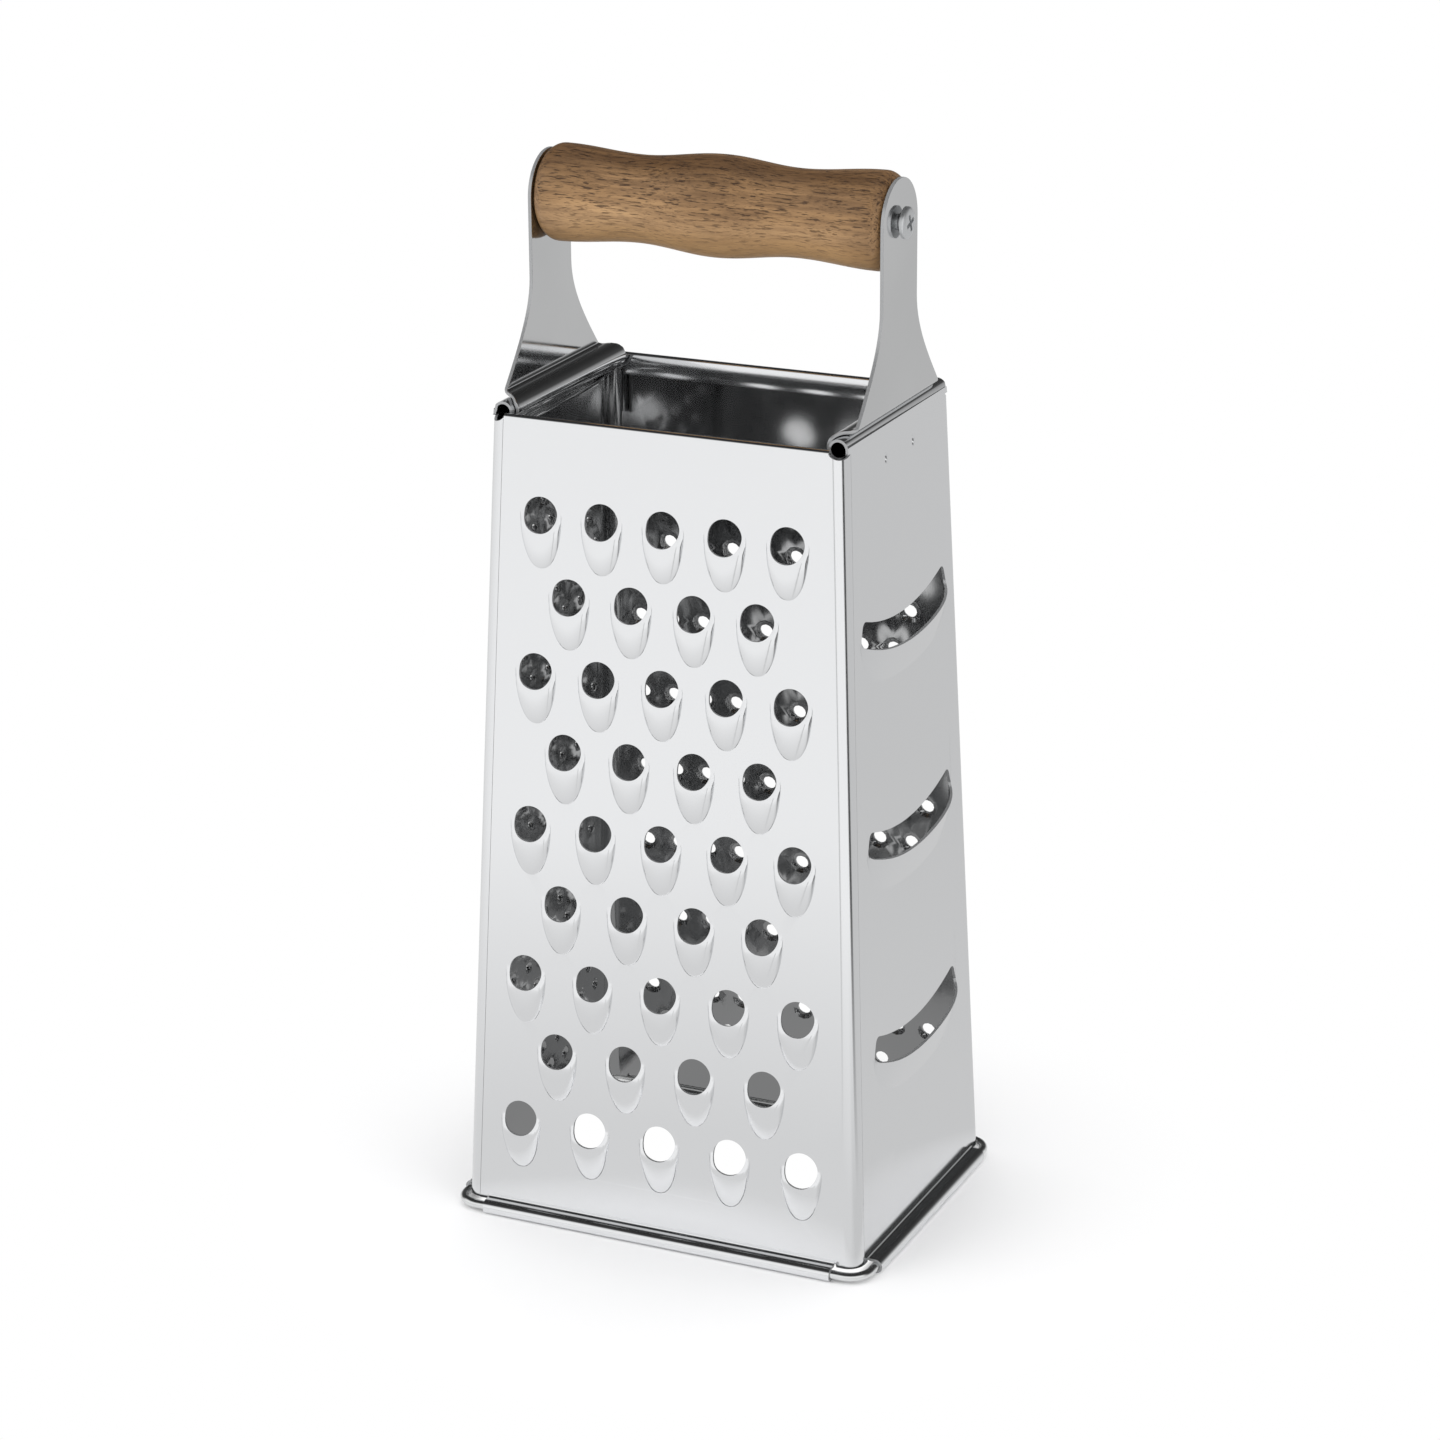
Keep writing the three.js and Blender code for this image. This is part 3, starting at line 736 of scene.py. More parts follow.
@dataclass
class Wall:
    """One pressed wall: flat sheet, punched forms, rim, corner bend, cove and bead."""

    side: Side
    node: str
    rim: Rim
    half_width: float
    distance: float
    hem_end: float = 3.6 * MM
    roll_end: float = 2.2 * MM
    bead_end: float = 6.0 * MM
    lap_height: float = 2.7 * MM
    shoulder: float = 1.1 * MM
    notch: float = 4.2 * MM
    cut_slant: float = 0.6 * MM
    cut_fall: float = 0.5 * MM
    tab_step: float = 0.35 * MM
    tab_rise: float = 0.25 * MM
    hem_radius: float = 0.9 * MM
    hem_drop: float = 4.1 * MM
    hem_slant: float = 0.5 * MM
    roll_wrap: float = 285.0
    bead_wrap: float = 252.0

    def half_at(self, height: float) -> float:
        """Half the wall's outer width at a height."""
        return self.half_width + BODY.spread(height)

    def top_line(self) -> float:
        """Height at which the flat sheet starts to turn into its rim."""
        return BODY.rim_height - self.hem_radius if self.rim is Rim.HEM else BODY.roll_height

    def punches(self) -> list[bpy.types.Object]:
        """Makes the forms punched in this wall."""
        return []

    def outline(self) -> bpy.types.Object:
        """Makes the loop that bounds the flat sheet.

        Returns:
            The loop, with shoulders at the corners and the ends of rim and bead marked by points.
        """
        foot = BODY.foot_height
        low = self.lap_height
        top = self.top_line()
        high = BODY.rim_height - self.shoulder
        inset = BODY.corner
        left_inset = BODY.corner + BODY.seam
        bead = self.half_at(0.0) - self.bead_end
        rim = self.half_width - (self.hem_end if self.rim is Rim.HEM else self.roll_end)
        corners = [
            (-bead, foot),
            (bead, foot),
            (bead + 2.0 / 3.0 * self.cut_slant, foot - self.cut_fall),
            (bead + self.cut_slant, low),
            (self.half_at(low) - inset, low),
            (self.half_at(high) - inset, high),
            (rim + self.tab_step, high + self.tab_rise / 3.0),
            (rim, high + self.tab_rise),
            (rim, top),
            (-rim, top),
            (-rim, high + self.tab_rise),
            (-rim - self.tab_step, high + self.tab_rise / 3.0),
            (-self.half_at(high) + left_inset, high),
            (-self.half_at(low) + left_inset, low),
            (-bead - self.cut_slant, low),
            (-bead - 2.0 / 3.0 * self.cut_slant, foot - self.cut_fall),
        ]
        return ring(self.node + "_sheet", [(x, 0.0, z) for x, z in corners])

    def build(self) -> bpy.types.Object:
        """Makes the whole wall and stands it at its side of the body.

        Returns:
            The finished wall.
        """
        wall = join([self.outline(), *self.punches()], self.node + "_looks")
        fill_sheet(wall, Vector((0.0, -1.0, 0.0)))
        self.turn_foot(wall)
        self.turn_rim(wall)
        self.turn_corner(wall)
        self.lean(wall)
        self.settle_normals(wall)
        thicken(wall, (POLISHED, INSIDE, CUT_EDGE), BODY.sheet, -1.0)
        turn_about_z(wall, self.side.value)
        smooth(wall)
        hand_over(wall, POLISHED, "body", self.node)
        return wall

    def turn_foot(self, wall: bpy.types.Object) -> None:
        """Turns the lower edge out through a tight cove and round the base wire.

        Args:
            wall: The wall, still upright at y = 0.
        """
        edit(wall)
        foot = BODY.foot_height
        limit = self.half_at(0.0) - self.bead_end + 1e-6
        pick_edges(wall, lambda a, b: all(abs(p.z - foot) < 1e-6 and abs(p.x) < limit for p in (a, b)))
        offset = BODY.wire_offset
        spin(6, -90.0, (0.0, -BODY.cove, foot), (1.0, 0.0, 0.0))
        bpy.ops.mesh.extrude_edges_move(TRANSFORM_OT_translate={"value": (0.0, BODY.cove - offset, 0.0)})
        spin(18, self.bead_wrap, (0.0, -offset, BODY.bead_height), (1.0, 0.0, 0.0))
        bare_scene()

    def turn_rim(self, wall: bpy.types.Object) -> None:
        """Folds the upper edge into a flat hem or an open roll.

        Args:
            wall: The wall, still upright at y = 0.
        """
        edit(wall)
        top = self.top_line()
        pick_edges(wall, lambda a, b: all(abs(p.z - top) < 1e-6 for p in (a, b)))
        if self.rim is Rim.HEM:
            spin(8, -180.0, (0.0, self.hem_radius, top), (1.0, 0.0, 0.0))
            for slant in (self.hem_slant, 0.0):
                fall = (0.0, slant, -self.hem_drop / 2)
                bpy.ops.mesh.extrude_edges_move(TRANSFORM_OT_translate={"value": fall})
        else:
            spin(22, -self.roll_wrap, (0.0, BODY.roll_radius, top), (1.0, 0.0, 0.0))
        bare_scene()

    def turn_corner(self, wall: bpy.types.Object) -> None:
        """Bends the right-hand edge round the corner and cuts the round relief at its top.

        Args:
            wall: The wall, still upright at y = 0.
        """
        edit(wall)
        low = self.lap_height
        high = BODY.rim_height - self.shoulder

        def on_edge(point: Vector) -> bool:
            """Whether a point lies on the right-hand edge of the flat sheet."""
            past = point.x - self.half_at(point.z) + BODY.corner
            return abs(past) < 2e-6 and low - 1e-6 < point.z < high + 1e-6

        pick_edges(wall, lambda a, b: on_edge(a) and on_edge(b))
        centre = (self.half_width - BODY.corner, BODY.corner, BODY.rim_height)
        axis = Vector((-BODY.slope, 0.0, 1.0)).normalized()
        spin(10, 90.0, centre, axis)
        bare_scene()
        reach = BODY.corner * math.pi / 4

        def relieve(point: Vector) -> Vector:
            """Lowers the top of the bend along a round notch.

            Args:
                point: A point of the wall.

            Returns:
                Its place, changed only at the top of the bend.
            """
            past = point.x - (self.half_at(point.z) - BODY.corner)
            on_bend = abs(math.hypot(past, BODY.corner - point.y) - BODY.corner) < 0.05 * MM
            if past < 1e-6 or point.y < 1e-6 or point.z < high - 1.0 * MM or not on_bend:
                return point
            bend = math.atan2(past, BODY.corner - point.y)
            along = BODY.corner * bend - reach
            drop = math.sqrt(max(self.notch**2 - along**2, 0.0)) - math.sqrt(self.notch**2 - reach**2)
            return Vector((point.x, point.y, point.z - drop))

        place_points(wall, relieve)

    def lean(self, wall: bpy.types.Object) -> None:
        """Leans the upright wall to its slope at its distance from the middle.

        Args:
            wall: The wall, still upright at y = 0.
        """

        def rule(point: Vector) -> Point:
            """Moves one point out by the wall's spread at its height."""
            out = self.distance + max(BODY.spread(point.z), 0.0)
            return (point.x, point.y - out, point.z)

        place_points(wall, rule)

    @staticmethod
    def settle_normals(wall: bpy.types.Object) -> None:
        """Merges doubled points and faces the whole sheet the way its flat part looks.

        Args:
            wall: The leaning wall.
        """
        edit(wall, "FACE")
        bpy.ops.mesh.select_all(action="SELECT")
        bpy.ops.mesh.remove_doubles(threshold=2e-6)
        bpy.ops.mesh.normals_make_consistent(inside=False)
        mesh = bmesh.from_edit_mesh(wall.data)
        mesh.normal_update()
        if max(mesh.faces, key=lambda face: face.calc_area()).normal.y > 0.0:
            bpy.ops.mesh.flip_normals()
        bare_scene()


@dataclass
class CoarseWall(Wall):
    """Front wall: staggered round holes, each with a raised scoop below."""

    rows: int = 9
    per_row: int = 5
    first: float = 21.5 * MM
    row_pitch: float = 17.82 * MM
    margin: float = 13.4 * MM
    hole: float = 4.0 * MM
    width: float = 5.0 * MM
    tail: float = 12.2 * MM
    rise: float = 1.4 * MM
    flat: float = 3.8 * MM
    start: float = 0.7 * MM
    fullness: float = 0.94
    edge: float = 0.78

    def scoop(self, angle: float, share: float) -> Point:
        """Form of one scoop: lip raised at the foot of the hole, falling to a long tail.

        Args:
            angle: Direction from the hole's middle.
            share: 0 at the hole and 1 at the outline.

        Returns:
            Across, outward and up from the hole's middle.
        """
        right, up = math.cos(angle), math.sin(angle)
        rim_right, rim_up = self.width * right, self.width * up
        if up < 0.0:
            rim_right = math.copysign(self.width * abs(right) ** self.fullness, right)
            rim_up = -self.tail * abs(up) ** self.fullness
        across = (1.0 - share) * self.hole * right + share * rim_right
        upward = (1.0 - share) * self.hole * up + share * rim_up
        rising = min(max((self.start - upward) / (self.start + self.flat), 0.0), 1.0)
        lip = self.rise * rising * rising * (3.0 - 2.0 * rising)
        return (across, lip * (1.0 - share * share) ** self.edge, upward)

    def punches(self) -> list[bpy.types.Object]:
        """Presses one scoop for each hole of the staggered rows.

        Returns:
            The scoops, their outer rings in the outline group.
        """
        punch = Punch(40, (1.1, 1.3, 1.5, 1.68, 1.82, 1.91, 1.96, 1.985, 2.0))
        blank = punch.blank("scoop")
        made = []
        for row in range(self.rows):
            height = BODY.rim_height - self.first - row * self.row_pitch
            pitch = 2.0 * (self.half_at(height) - self.margin) / (self.per_row - 1)
            count = self.per_row - row % 2
            for column in range(count):
                across = (column - (count - 1) / 2) * pitch
                made.append(punch.pressed(blank, across, height, self.scoop))
        bpy.data.objects.remove(blank)
        return made


@dataclass
class SpotWelds:
    """The two small dents where a bracket's tail is welded to its wall."""

    spacing: float = 15.5 * MM
    below_rim: float = 6.9 * MM
    radius: float = 1.5 * MM
    depth: float = 0.55 * MM

    def make(self) -> list[bpy.types.Object]:
        """Makes the dents as discs pushed in at their middle.

        Returns:
            The two discs, their rims in the outline group.
        """
        made = []
        for side in (-1, 1):
            bare_scene()
            bpy.ops.mesh.primitive_circle_add(vertices=14, radius=1.0, fill_type="NGON")
            disc = bpy.context.object
            bpy.ops.object.mode_set(mode="EDIT")
            bpy.ops.mesh.select_all(action="SELECT")
            for _ in range(3):
                bpy.ops.mesh.inset(thickness=0.27)
            bare_scene()
            group_points(disc, [v.index for v in disc.data.vertices if v.co.length > 0.99])

            def press(point: Vector) -> Point:
                """Pushes one point in along a soft narrow dent.

                Args:
                    point: The point on the flat disc.

                Returns:
                    Its place on the wall.
                """
                share = min(point.xy.length, 1.0)
                inward = self.depth * (1.0 - share**2) ** 2
                across = side * self.spacing / 2 + 0.45 * point.x * self.radius
                return (across, inward, BODY.rim_height - self.below_rim + point.y * self.radius)

            place_points(disc, press)
            made.append(disc)
        return made


@dataclass
class SlicingWall(Wall):
    """Right wall: curved slots, each with a raised lower lip."""

    count: int = 3
    first: float = 46.0 * MM
    pitch: float = 48.0 * MM
    width: float = 48.0 * MM
    opening: float = 5.8 * MM
    arc: float = 72.0 * MM
    drop: float = 7.6 * MM
    rise: float = 2.5 * MM
    end: float = 1.6 * MM
    least_drop: float = 0.5 * MM
    columns: int = 36

    @property
    def straight(self) -> float:
        """Share of the slot's half width before its rounded end."""
        return 1.0 - self.end / (self.width / 2)

    @property
    def widest(self) -> float:
        """Angle from the middle of the slot's arc to its end."""
        return math.asin(self.width / 2 / self.arc)

    def lower_edge(self, along: float) -> float:
        """Radius of the slot's lower edge, which rounds up at both ends.

        Args:
            along: Place along the slot, -1 and 1 at its ends.

        Returns:
            Distance from the middle of the slot's arc.
        """
        past = max((abs(along) - self.straight) / (1.0 - self.straight), 0.0)
        return self.arc + self.opening / 2 - self.end * (1.0 - math.sqrt(max(1.0 - past * past, 0.0)))

    def lip(self, height: float) -> bpy.types.Object:
        """Makes the raised lip below one slot from a flat grid.

        Args:
            height: Height of the slot's middle line at the middle of the wall.

        Returns:
            The lip, its lower edge and ends in the outline group.
        """
        bare_scene()
        bpy.ops.mesh.primitive_grid_add(x_subdivisions=self.columns, y_subdivisions=8, size=2.0)
        obj = bpy.context.object
        outer = [v.index for v in obj.data.vertices if v.co.y < -0.999 or abs(v.co.x) > 0.999]
        group_points(obj, outer)

        def press(point: Vector) -> Point:
            """Bends one point of the grid into the lip.

            Args:
                point: The point on the flat grid.

            Returns:
                Its place on the wall.
            """
            share = (1.0 - point.y) / 2
            along = math.sin(point.x * math.pi / 2)
            angle = along * self.widest
            fade = 1.0 - abs(along) ** 6
            radius = self.lower_edge(along) + share * (self.least_drop + self.drop * fade)
            out = self.rise * fade * (1.0 - share)
            return (radius * math.sin(angle), -out, height + self.arc - radius * math.cos(angle))

        place_points(obj, press)
        return obj

    def upper_edge(self, height: float) -> bpy.types.Object:
        """Makes the cut edge above one slot, from one end of its lip to the other.

        Args:
            height: Height of the slot's middle line at the middle of the wall.

        Returns:
            The open chain of edges.
        """
        high = self.arc - self.opening / 2
        turns = [math.pi / 2 * i / 5 for i in range(6)]
        curved = 1.0 - self.straight
        bend = [(1.0 - curved * (1.0 - math.cos(t)), high + self.end * (1.0 - math.sin(t))) for t in turns]
        end = [(1.0, self.lower_edge(1.0)), *bend]
        points = [(-along, radius) for along, radius in end]
        points += [(self.straight * (i / 15 - 1.0), high) for i in range(1, 30)]
        points += reversed(end)
        turned = [(along * self.widest, radius) for along, radius in points]
        placed = [(r * math.sin(a), 0.0, height + self.arc - r * math.cos(a)) for a, r in turned]
        return ring("slot_edge", placed, closed=False)

    def punches(self) -> list[bpy.types.Object]:
        """Makes the lips and edges of all slots, and the weld dents.

        Returns:
            The parts to join to the flat sheet.
        """
        made = SpotWelds().make()
        for i in range(self.count):
            height = BODY.rim_height - self.first - i * self.pitch
            made += [self.lip(height), self.upper_edge(height)]
        return made


@dataclass
class PunchedWall(Wall):
    """A wall filled with small staggered punches between its margins."""

    pitch: float = 8.0 * MM
    row_pitch: float = 9.5 * MM
    hole: float = 1.7 * MM
    foot: float = 2.9 * MM
    rise: float = 0.9 * MM
    corners: int = 12
    welds: bool = False
    edge_margin: float = 8.0 * MM
    top_margin: float = 26.0 * MM
    foot_margin: float = 18.0 * MM

    def crater(self, angle: float, share: float) -> Point:
        """Form of one raised hole, highest on its lower side.

        Args:
            angle: Direction from the hole's middle.
            share: 0 at the hole and 1 at the outline.

        Returns:
            Across, outward and up from the hole's middle.
        """
        radius = self.hole + share * (self.foot - self.hole)
        lip = self.rise * (0.62 - 0.38 * math.sin(angle))
        return (radius * math.cos(angle), lip * (1.0 - share**2) ** 1.5, radius * math.sin(angle))

    def punches(self) -> list[bpy.types.Object]:
        """Presses one raised hole at each place of the staggered rows.

        Returns:
            The raised holes, and the weld dents if the wall has them.
        """
        punch = Punch(self.corners, (1.25, 1.6, 2.0))
        blank = punch.blank("raised_hole")
        made = SpotWelds().make() if self.welds else []
        top = BODY.rim_height - self.top_margin
        rows = int((top - self.foot_margin) / self.row_pitch)
        for row in range(rows + 1):
            height = top - row * self.row_pitch
            most = int(2.0 * (self.half_at(height) - self.edge_margin) / self.pitch) + 1
            count = most if most % 2 == row % 2 else most - 1
            for column in range(count):
                across = (column - (count - 1) / 2) * self.pitch
                made.append(punch.pressed(blank, across, height, self.crater))
        bpy.data.objects.remove(blank)
        return made


@dataclass
class FineWall(PunchedWall):
    """Left wall: small holes torn into four-pointed burrs."""

    def crater(self, angle: float, share: float) -> Point:
        """Form of one torn hole with four raised points.

        Args:
            angle: Direction from the hole's middle.
            share: 0 at the hole and 1 at the outline.

        Returns:
            Across, outward and up from the hole's middle.
        """
        points = math.cos(4.0 * angle)
        hole = self.hole * (0.85 + 0.3 * points)
        radius = hole + share * (self.foot - hole)
        lip = self.rise * (0.75 - 0.25 * points)
        return (radius * math.cos(angle), lip * (1.0 - share) ** 1.4, radius * math.sin(angle))


@dataclass
class BaseWire:
    """Round wire ring in the beads of the foot."""

    sides: int = 16

    def build(self) -> bpy.types.Object:
        """Sweeps the wire's circle round the footprint by straight runs and corner spins.

        Returns:
            The finished ring.
        """
        corner = BODY.wire_corner
        half_x = BODY.half_width + BODY.spread(BODY.bead_height) + BODY.wire_offset - corner
        half_y = BODY.half_depth + BODY.spread(BODY.bead_height) + BODY.wire_offset - corner
        bare_scene()
        bpy.ops.mesh.primitive_circle_add(
            vertices=self.sides,
            radius=BODY.wire_radius,
            fill_type="NOTHING",
            location=(half_x + corner, -half_y, BODY.bead_height),
            rotation=(math.pi / 2, 0.0, 0.0),
        )
        wire = bpy.context.object
        wire.name = "base_wire_looks"
        bpy.ops.object.transform_apply(location=True, rotation=True, scale=True)
        bpy.ops.object.mode_set(mode="EDIT")
        bpy.ops.mesh.select_all(action="SELECT")
        legs = [
            ((0.0, 2.0 * half_y, 0.0), (half_x, half_y)),
            ((-2.0 * half_x, 0.0, 0.0), (-half_x, half_y)),
            ((0.0, -2.0 * half_y, 0.0), (-half_x, -half_y)),
            ((2.0 * half_x, 0.0, 0.0), (half_x, -half_y)),
        ]
        for run, (x, y) in legs:
            bpy.ops.mesh.extrude_edges_move(TRANSFORM_OT_translate={"value": run})
            spin(8, 90.0, (x, y, BODY.bead_height), (0.0, 0.0, 1.0))
        bpy.ops.mesh.select_all(action="SELECT")
        bpy.ops.mesh.remove_doubles(threshold=2e-6)
        bpy.ops.mesh.normals_make_consistent(inside=False)
        smooth(wire, 60.0, weighted=False)
        hand_over(wire, WIRE, "body", "base_wire")
        return wire


@dataclass
class Bracket:
    """Sheet bracket: round top, slim neck, flared foot hooked round the rolled rim."""

    side: Side
    node: str
    sheet: float = 0.8 * MM
    top: float = 9.6 * MM
    foot: float = 26.8 * MM
    tail: float = 21.0 * MM
    outset: float = 0.1 * MM
    neck: float = 214.0 * MM
    shoulder: float = 187.0 * MM
    step: float = 0.9 * MM
    hook_gap: float = 0.15 * MM
    hook_from: float = 80.0
    hook_to: float = 250.0
    settle: float = 3.2 * MM
    tail_length: float = 12.0 * MM
    notch_above: float = 1.5 * MM
    flare_pull: float = 0.33
    flare_reach: float = 0.73
    edge_round: float = 0.16 * MM
    hole: float = 2.05 * MM

    def section(self) -> list[tuple[float, float]]:
        """Middle line of the sheet from the plate, round the hook and down to the tail.

        Returns:
            Points of the line, as (outward, height).
        """
        plate = self.outset - self.sheet / 2
        tail = -BODY.sheet - self.hook_gap - self.sheet / 2
        radius = BODY.roll_radius + self.hook_gap + self.sheet / 2
        centre = (-BODY.roll_radius, BODY.roll_height)
        start, end = math.radians(self.hook_from), math.radians(self.hook_to)
        hook = [
            (centre[0] + radius * math.cos(a), centre[1] + radius * math.sin(a))
            for a in (start + (end - start) * i / 24 for i in range(25))
        ]
        crest = hook[0]
        line = []
        for i in range(9):
            t = i / 8
            across = (1 - t) ** 2 * plate + 2 * (1 - t) * t * plate + t**2 * crest[0]
            up = (1 - t) ** 2 * (crest[1] + self.step) + 2 * (1 - t) * t * crest[1] + t**2 * crest[1]
            line.append((across, up))
        line += hook[1:]
        low = hook[-1]
        for t in (0.2, 0.4, 0.7, 1.0):
            eased = 1.0 - (1.0 - t) ** 2
            line.append((low[0] + (tail - low[0]) * eased, low[1] - self.settle * t))
        line.append((tail, line[-1][1] - self.tail_length))
        return line

    def blank_outline(self, bottom: float, notch: float) -> list[tuple[float, float]]:
        """Outline of the flat blank, as (across, height along the sheet).

        Args:
            bottom: Lower end of the tail.
            notch: Where the tail narrows.

        Returns:
            The corners of the outline in order.
        """
        flare = []
        pull = (self.neck - self.shoulder) * self.flare_pull
        reach = self.foot * self.flare_reach
        for i in range(17):
            t = i / 16
            weights = ((1 - t) ** 3, 3 * (1 - t) ** 2 * t, 3 * (1 - t) * t * t, t**3)
            across = sum(w * x for w, x in zip(weights, (self.foot, reach, self.top, self.top)))
            heights = (self.shoulder, self.shoulder + pull, self.neck - pull, self.neck)
            flare.append((across, sum(w * z for w, z in zip(weights, heights))))
        crown = [
            (self.top * math.cos(a), BODY.grip_height + self.top * math.sin(a))
            for a in (math.pi * i / 32 for i in range(33))
        ]
        right = [(self.tail, bottom), (self.tail, notch), (self.foot - 0.8 * MM, notch + 0.2 * MM)]
        right += [(self.foot, notch + 1.0 * MM), *flare]
        return [*right, *crown, *[(-x, z) for x, z in reversed(right)]]

    def build(self) -> bpy.types.Object:
        """Cuts the blank, bends it along its section, thickens it and eases its edges.

        Returns:
            The finished bracket.
        """
        line = self.section()
        lengths = [0.0]
        for a, b in zip(line, line[1:]):
            lengths.append(lengths[-1] + math.dist(a, b))
        start = line[0][1]
        bottom = start - lengths[-1]
        notch = bottom + self.tail_length + self.notch_above
        edge = ring("bracket_edge", [(x, 0.0, z) for x, z in self.blank_outline(bottom, notch)])
        hole = ring(
            "bracket_hole",
            [
                (self.hole * math.cos(a), 0.0, BODY.grip_height + self.hole * math.sin(a))
                for a in (math.tau * i / 20 for i in range(20))
            ],
        )
        bracket = join([edge, hole], self.node + "_looks")
        fill_sheet(bracket, Vector((0.0, -1.0, 0.0)))
        edit(bracket, "FACE")
        for length in lengths[:-1]:
            bpy.ops.mesh.select_all(action="SELECT")
            bpy.ops.mesh.bisect(plane_co=(0.0, 0.0, start - length), plane_no=(0.0, 0.0, 1.0))
        bare_scene()

        def bend(point: Vector) -> Point:
            """Moves one point of the blank onto the bent section.

            Args:
                point: The point on the flat blank.

            Returns:
                Its place on the bracket.
            """
            gone = start - point.z
            if gone <= 0.0:
                return (point.x, -BODY.half_width - line[0][0], point.z)
            index = next((i for i in range(len(lengths) - 2) if lengths[i + 1] >= gone), len(lengths) - 2)
            share = (gone - lengths[index]) / (lengths[index + 1] - lengths[index])
            (w0, z0), (w1, z1) = line[index], line[index + 1]
            out, up = w0 + (w1 - w0) * share, z0 + (z1 - z0) * share
            return (point.x, -BODY.half_width - out - max(BODY.spread(up), 0.0), up)

        place_points(bracket, bend)
        thicken(bracket, (SATIN, SATIN, CUT_EDGE), self.sheet, 0.0)
        use_modifier(
            bracket,
            "BEVEL",
            width=self.edge_round,
            segments=2,
            limit_method="ANGLE",
            angle_limit=math.radians(60.0),
        )
        turn_about_z(bracket, self.side.value)
        smooth(bracket, 50.0)
        hand_over(bracket, SATIN, "body", self.node)
        return bracket


@dataclass
class Grip:
    """Turned wooden grip with a swelling middle, two waists and rounded ends."""

    half_length: float = 41.1 * MM
    middle: float = 11.2 * MM
    end: float = 10.8 * MM
    waist: float = 9.6 * MM
    round_over: float = 3.2 * MM
    bore: float = 2.05 * MM
    bore_depth: float = 18.3 * MM

    def profile(self) -> list[tuple[float, float]]:
        """Outline of half the turned form, from the middle to the bore's bottom.

        Returns:
            Points of the outline, as (along, radius).
        """
        straight = self.half_length - self.round_over
        line = []
        for i in range(40):
            along = straight * i / 40
            crest = self.middle if along < straight / 2 else self.end
            swell = (1.0 + math.cos(math.tau * along / straight)) / 2
            line.append((along, self.waist + (crest - self.waist) * swell))
        for i in range(9):
            a = math.pi / 2 * i / 8
            centre = self.end - self.round_over
            line.append((straight + self.round_over * math.sin(a), centre + self.round_over * math.cos(a)))
        bottom = self.half_length - self.bore_depth
        line += [(self.half_length, self.bore), (bottom, self.bore), (bottom, 0.0)]
        return line

    def build(self) -> bpy.types.Object:
        """Spins the outline about the grip's axis.

        Returns:
            The finished grip.
        """
        half = self.profile()
        whole = [(-x, r) for x, r in reversed(half[1:])] + half
        chain = ring("grip_looks", [(x, 0.0, BODY.grip_height + r) for x, r in whole], closed=False)
        edit(chain)
        bpy.ops.mesh.select_all(action="SELECT")
        spin(72, 360.0, (0.0, 0.0, BODY.grip_height), (1.0, 0.0, 0.0))
        bpy.ops.mesh.select_all(action="SELECT")
        bpy.ops.mesh.remove_doubles(threshold=2e-6)
        bpy.ops.mesh.normals_make_consistent(inside=False)
        smooth(chain, 50.0, weighted=False)
        hand_over(chain, WOOD, "grip", "grip")
        return chain


@dataclass
class PanScrew:
    """Pan-head screw with a cross recess, its shank along the grip's axis."""

    side: Side
    node: str
    seat: float = 42.25 * MM
    head: float = 3.5 * MM
    gap: float = 0.7 * MM
    edge: float = 0.5 * MM
    rise: float = 1.95 * MM
    shank: float = 1.75 * MM
    tip: float = 23.7 * MM
    slot_width: float = 0.9 * MM
    slot_span: float = 3.8 * MM
    slot_depth: float = 0.8 * MM

    @property
    def outward(self) -> int:
        """1 on the right and -1 on the left."""
        return 1 if self.side is Side.RIGHT else -1

    def build(self) -> bpy.types.Object:
        """Spins the screw's outline and sinks the cross recess.

        Returns:
            The finished screw.
        """
        under = self.seat + self.gap
        line = [(self.tip, 0.0), (self.tip + self.shank, self.shank), (under, self.shank), (under, self.head)]
        for i in range(9):
            t = i / 8
            along = (1 - t) ** 2 * (self.gap + self.edge) + 2 * (1 - t) * t * self.rise + t * t * self.rise
            radius = (1 - t) ** 2 * self.head + 2 * (1 - t) * t * self.head + t * t * self.head / 2
            line.append((self.seat + along, radius))
        line.append((self.seat + self.rise * 1.03, 0.0))
        placed = [(self.outward * x, 0.0, BODY.grip_height + r) for x, r in line]
        chain = ring(self.node + "_looks", placed, closed=False)
        edit(chain)
        bpy.ops.mesh.select_all(action="SELECT")
        spin(40, 360.0, (0.0, 0.0, BODY.grip_height), (1.0, 0.0, 0.0))
        bpy.ops.mesh.select_all(action="SELECT")
        bpy.ops.mesh.remove_doubles(threshold=2e-6)
        bpy.ops.mesh.normals_make_consistent(inside=False)
        bare_scene()
        self.sink_recess(chain)
        smooth(chain, 40.0, weighted=False)
        hand_over(chain, SCREW, "grip", self.node)
        return chain

    def sink_recess(self, screw: bpy.types.Object) -> None:
        """Cuts the two arms of the cross recess into the head.

        Args:
            screw: The screw without its recess.
        """
        crown = self.seat + self.rise
        for turn in (math.radians(20.0), math.radians(110.0)):
            bare_scene()
            bpy.ops.mesh.primitive_cube_add(
                size=1.0, location=(self.outward * crown, 0.0, BODY.grip_height), rotation=(turn, 0.0, 0.0)
            )
            arm = bpy.context.object
            arm.scale = (2.0 * self.slot_depth, self.slot_span, self.slot_width)
            bpy.ops.object.transform_apply(location=True, rotation=True, scale=True)
            use_modifier(screw, "BOOLEAN", operation="DIFFERENCE", object=arm, solver="EXACT")
            bpy.data.objects.remove(arm)


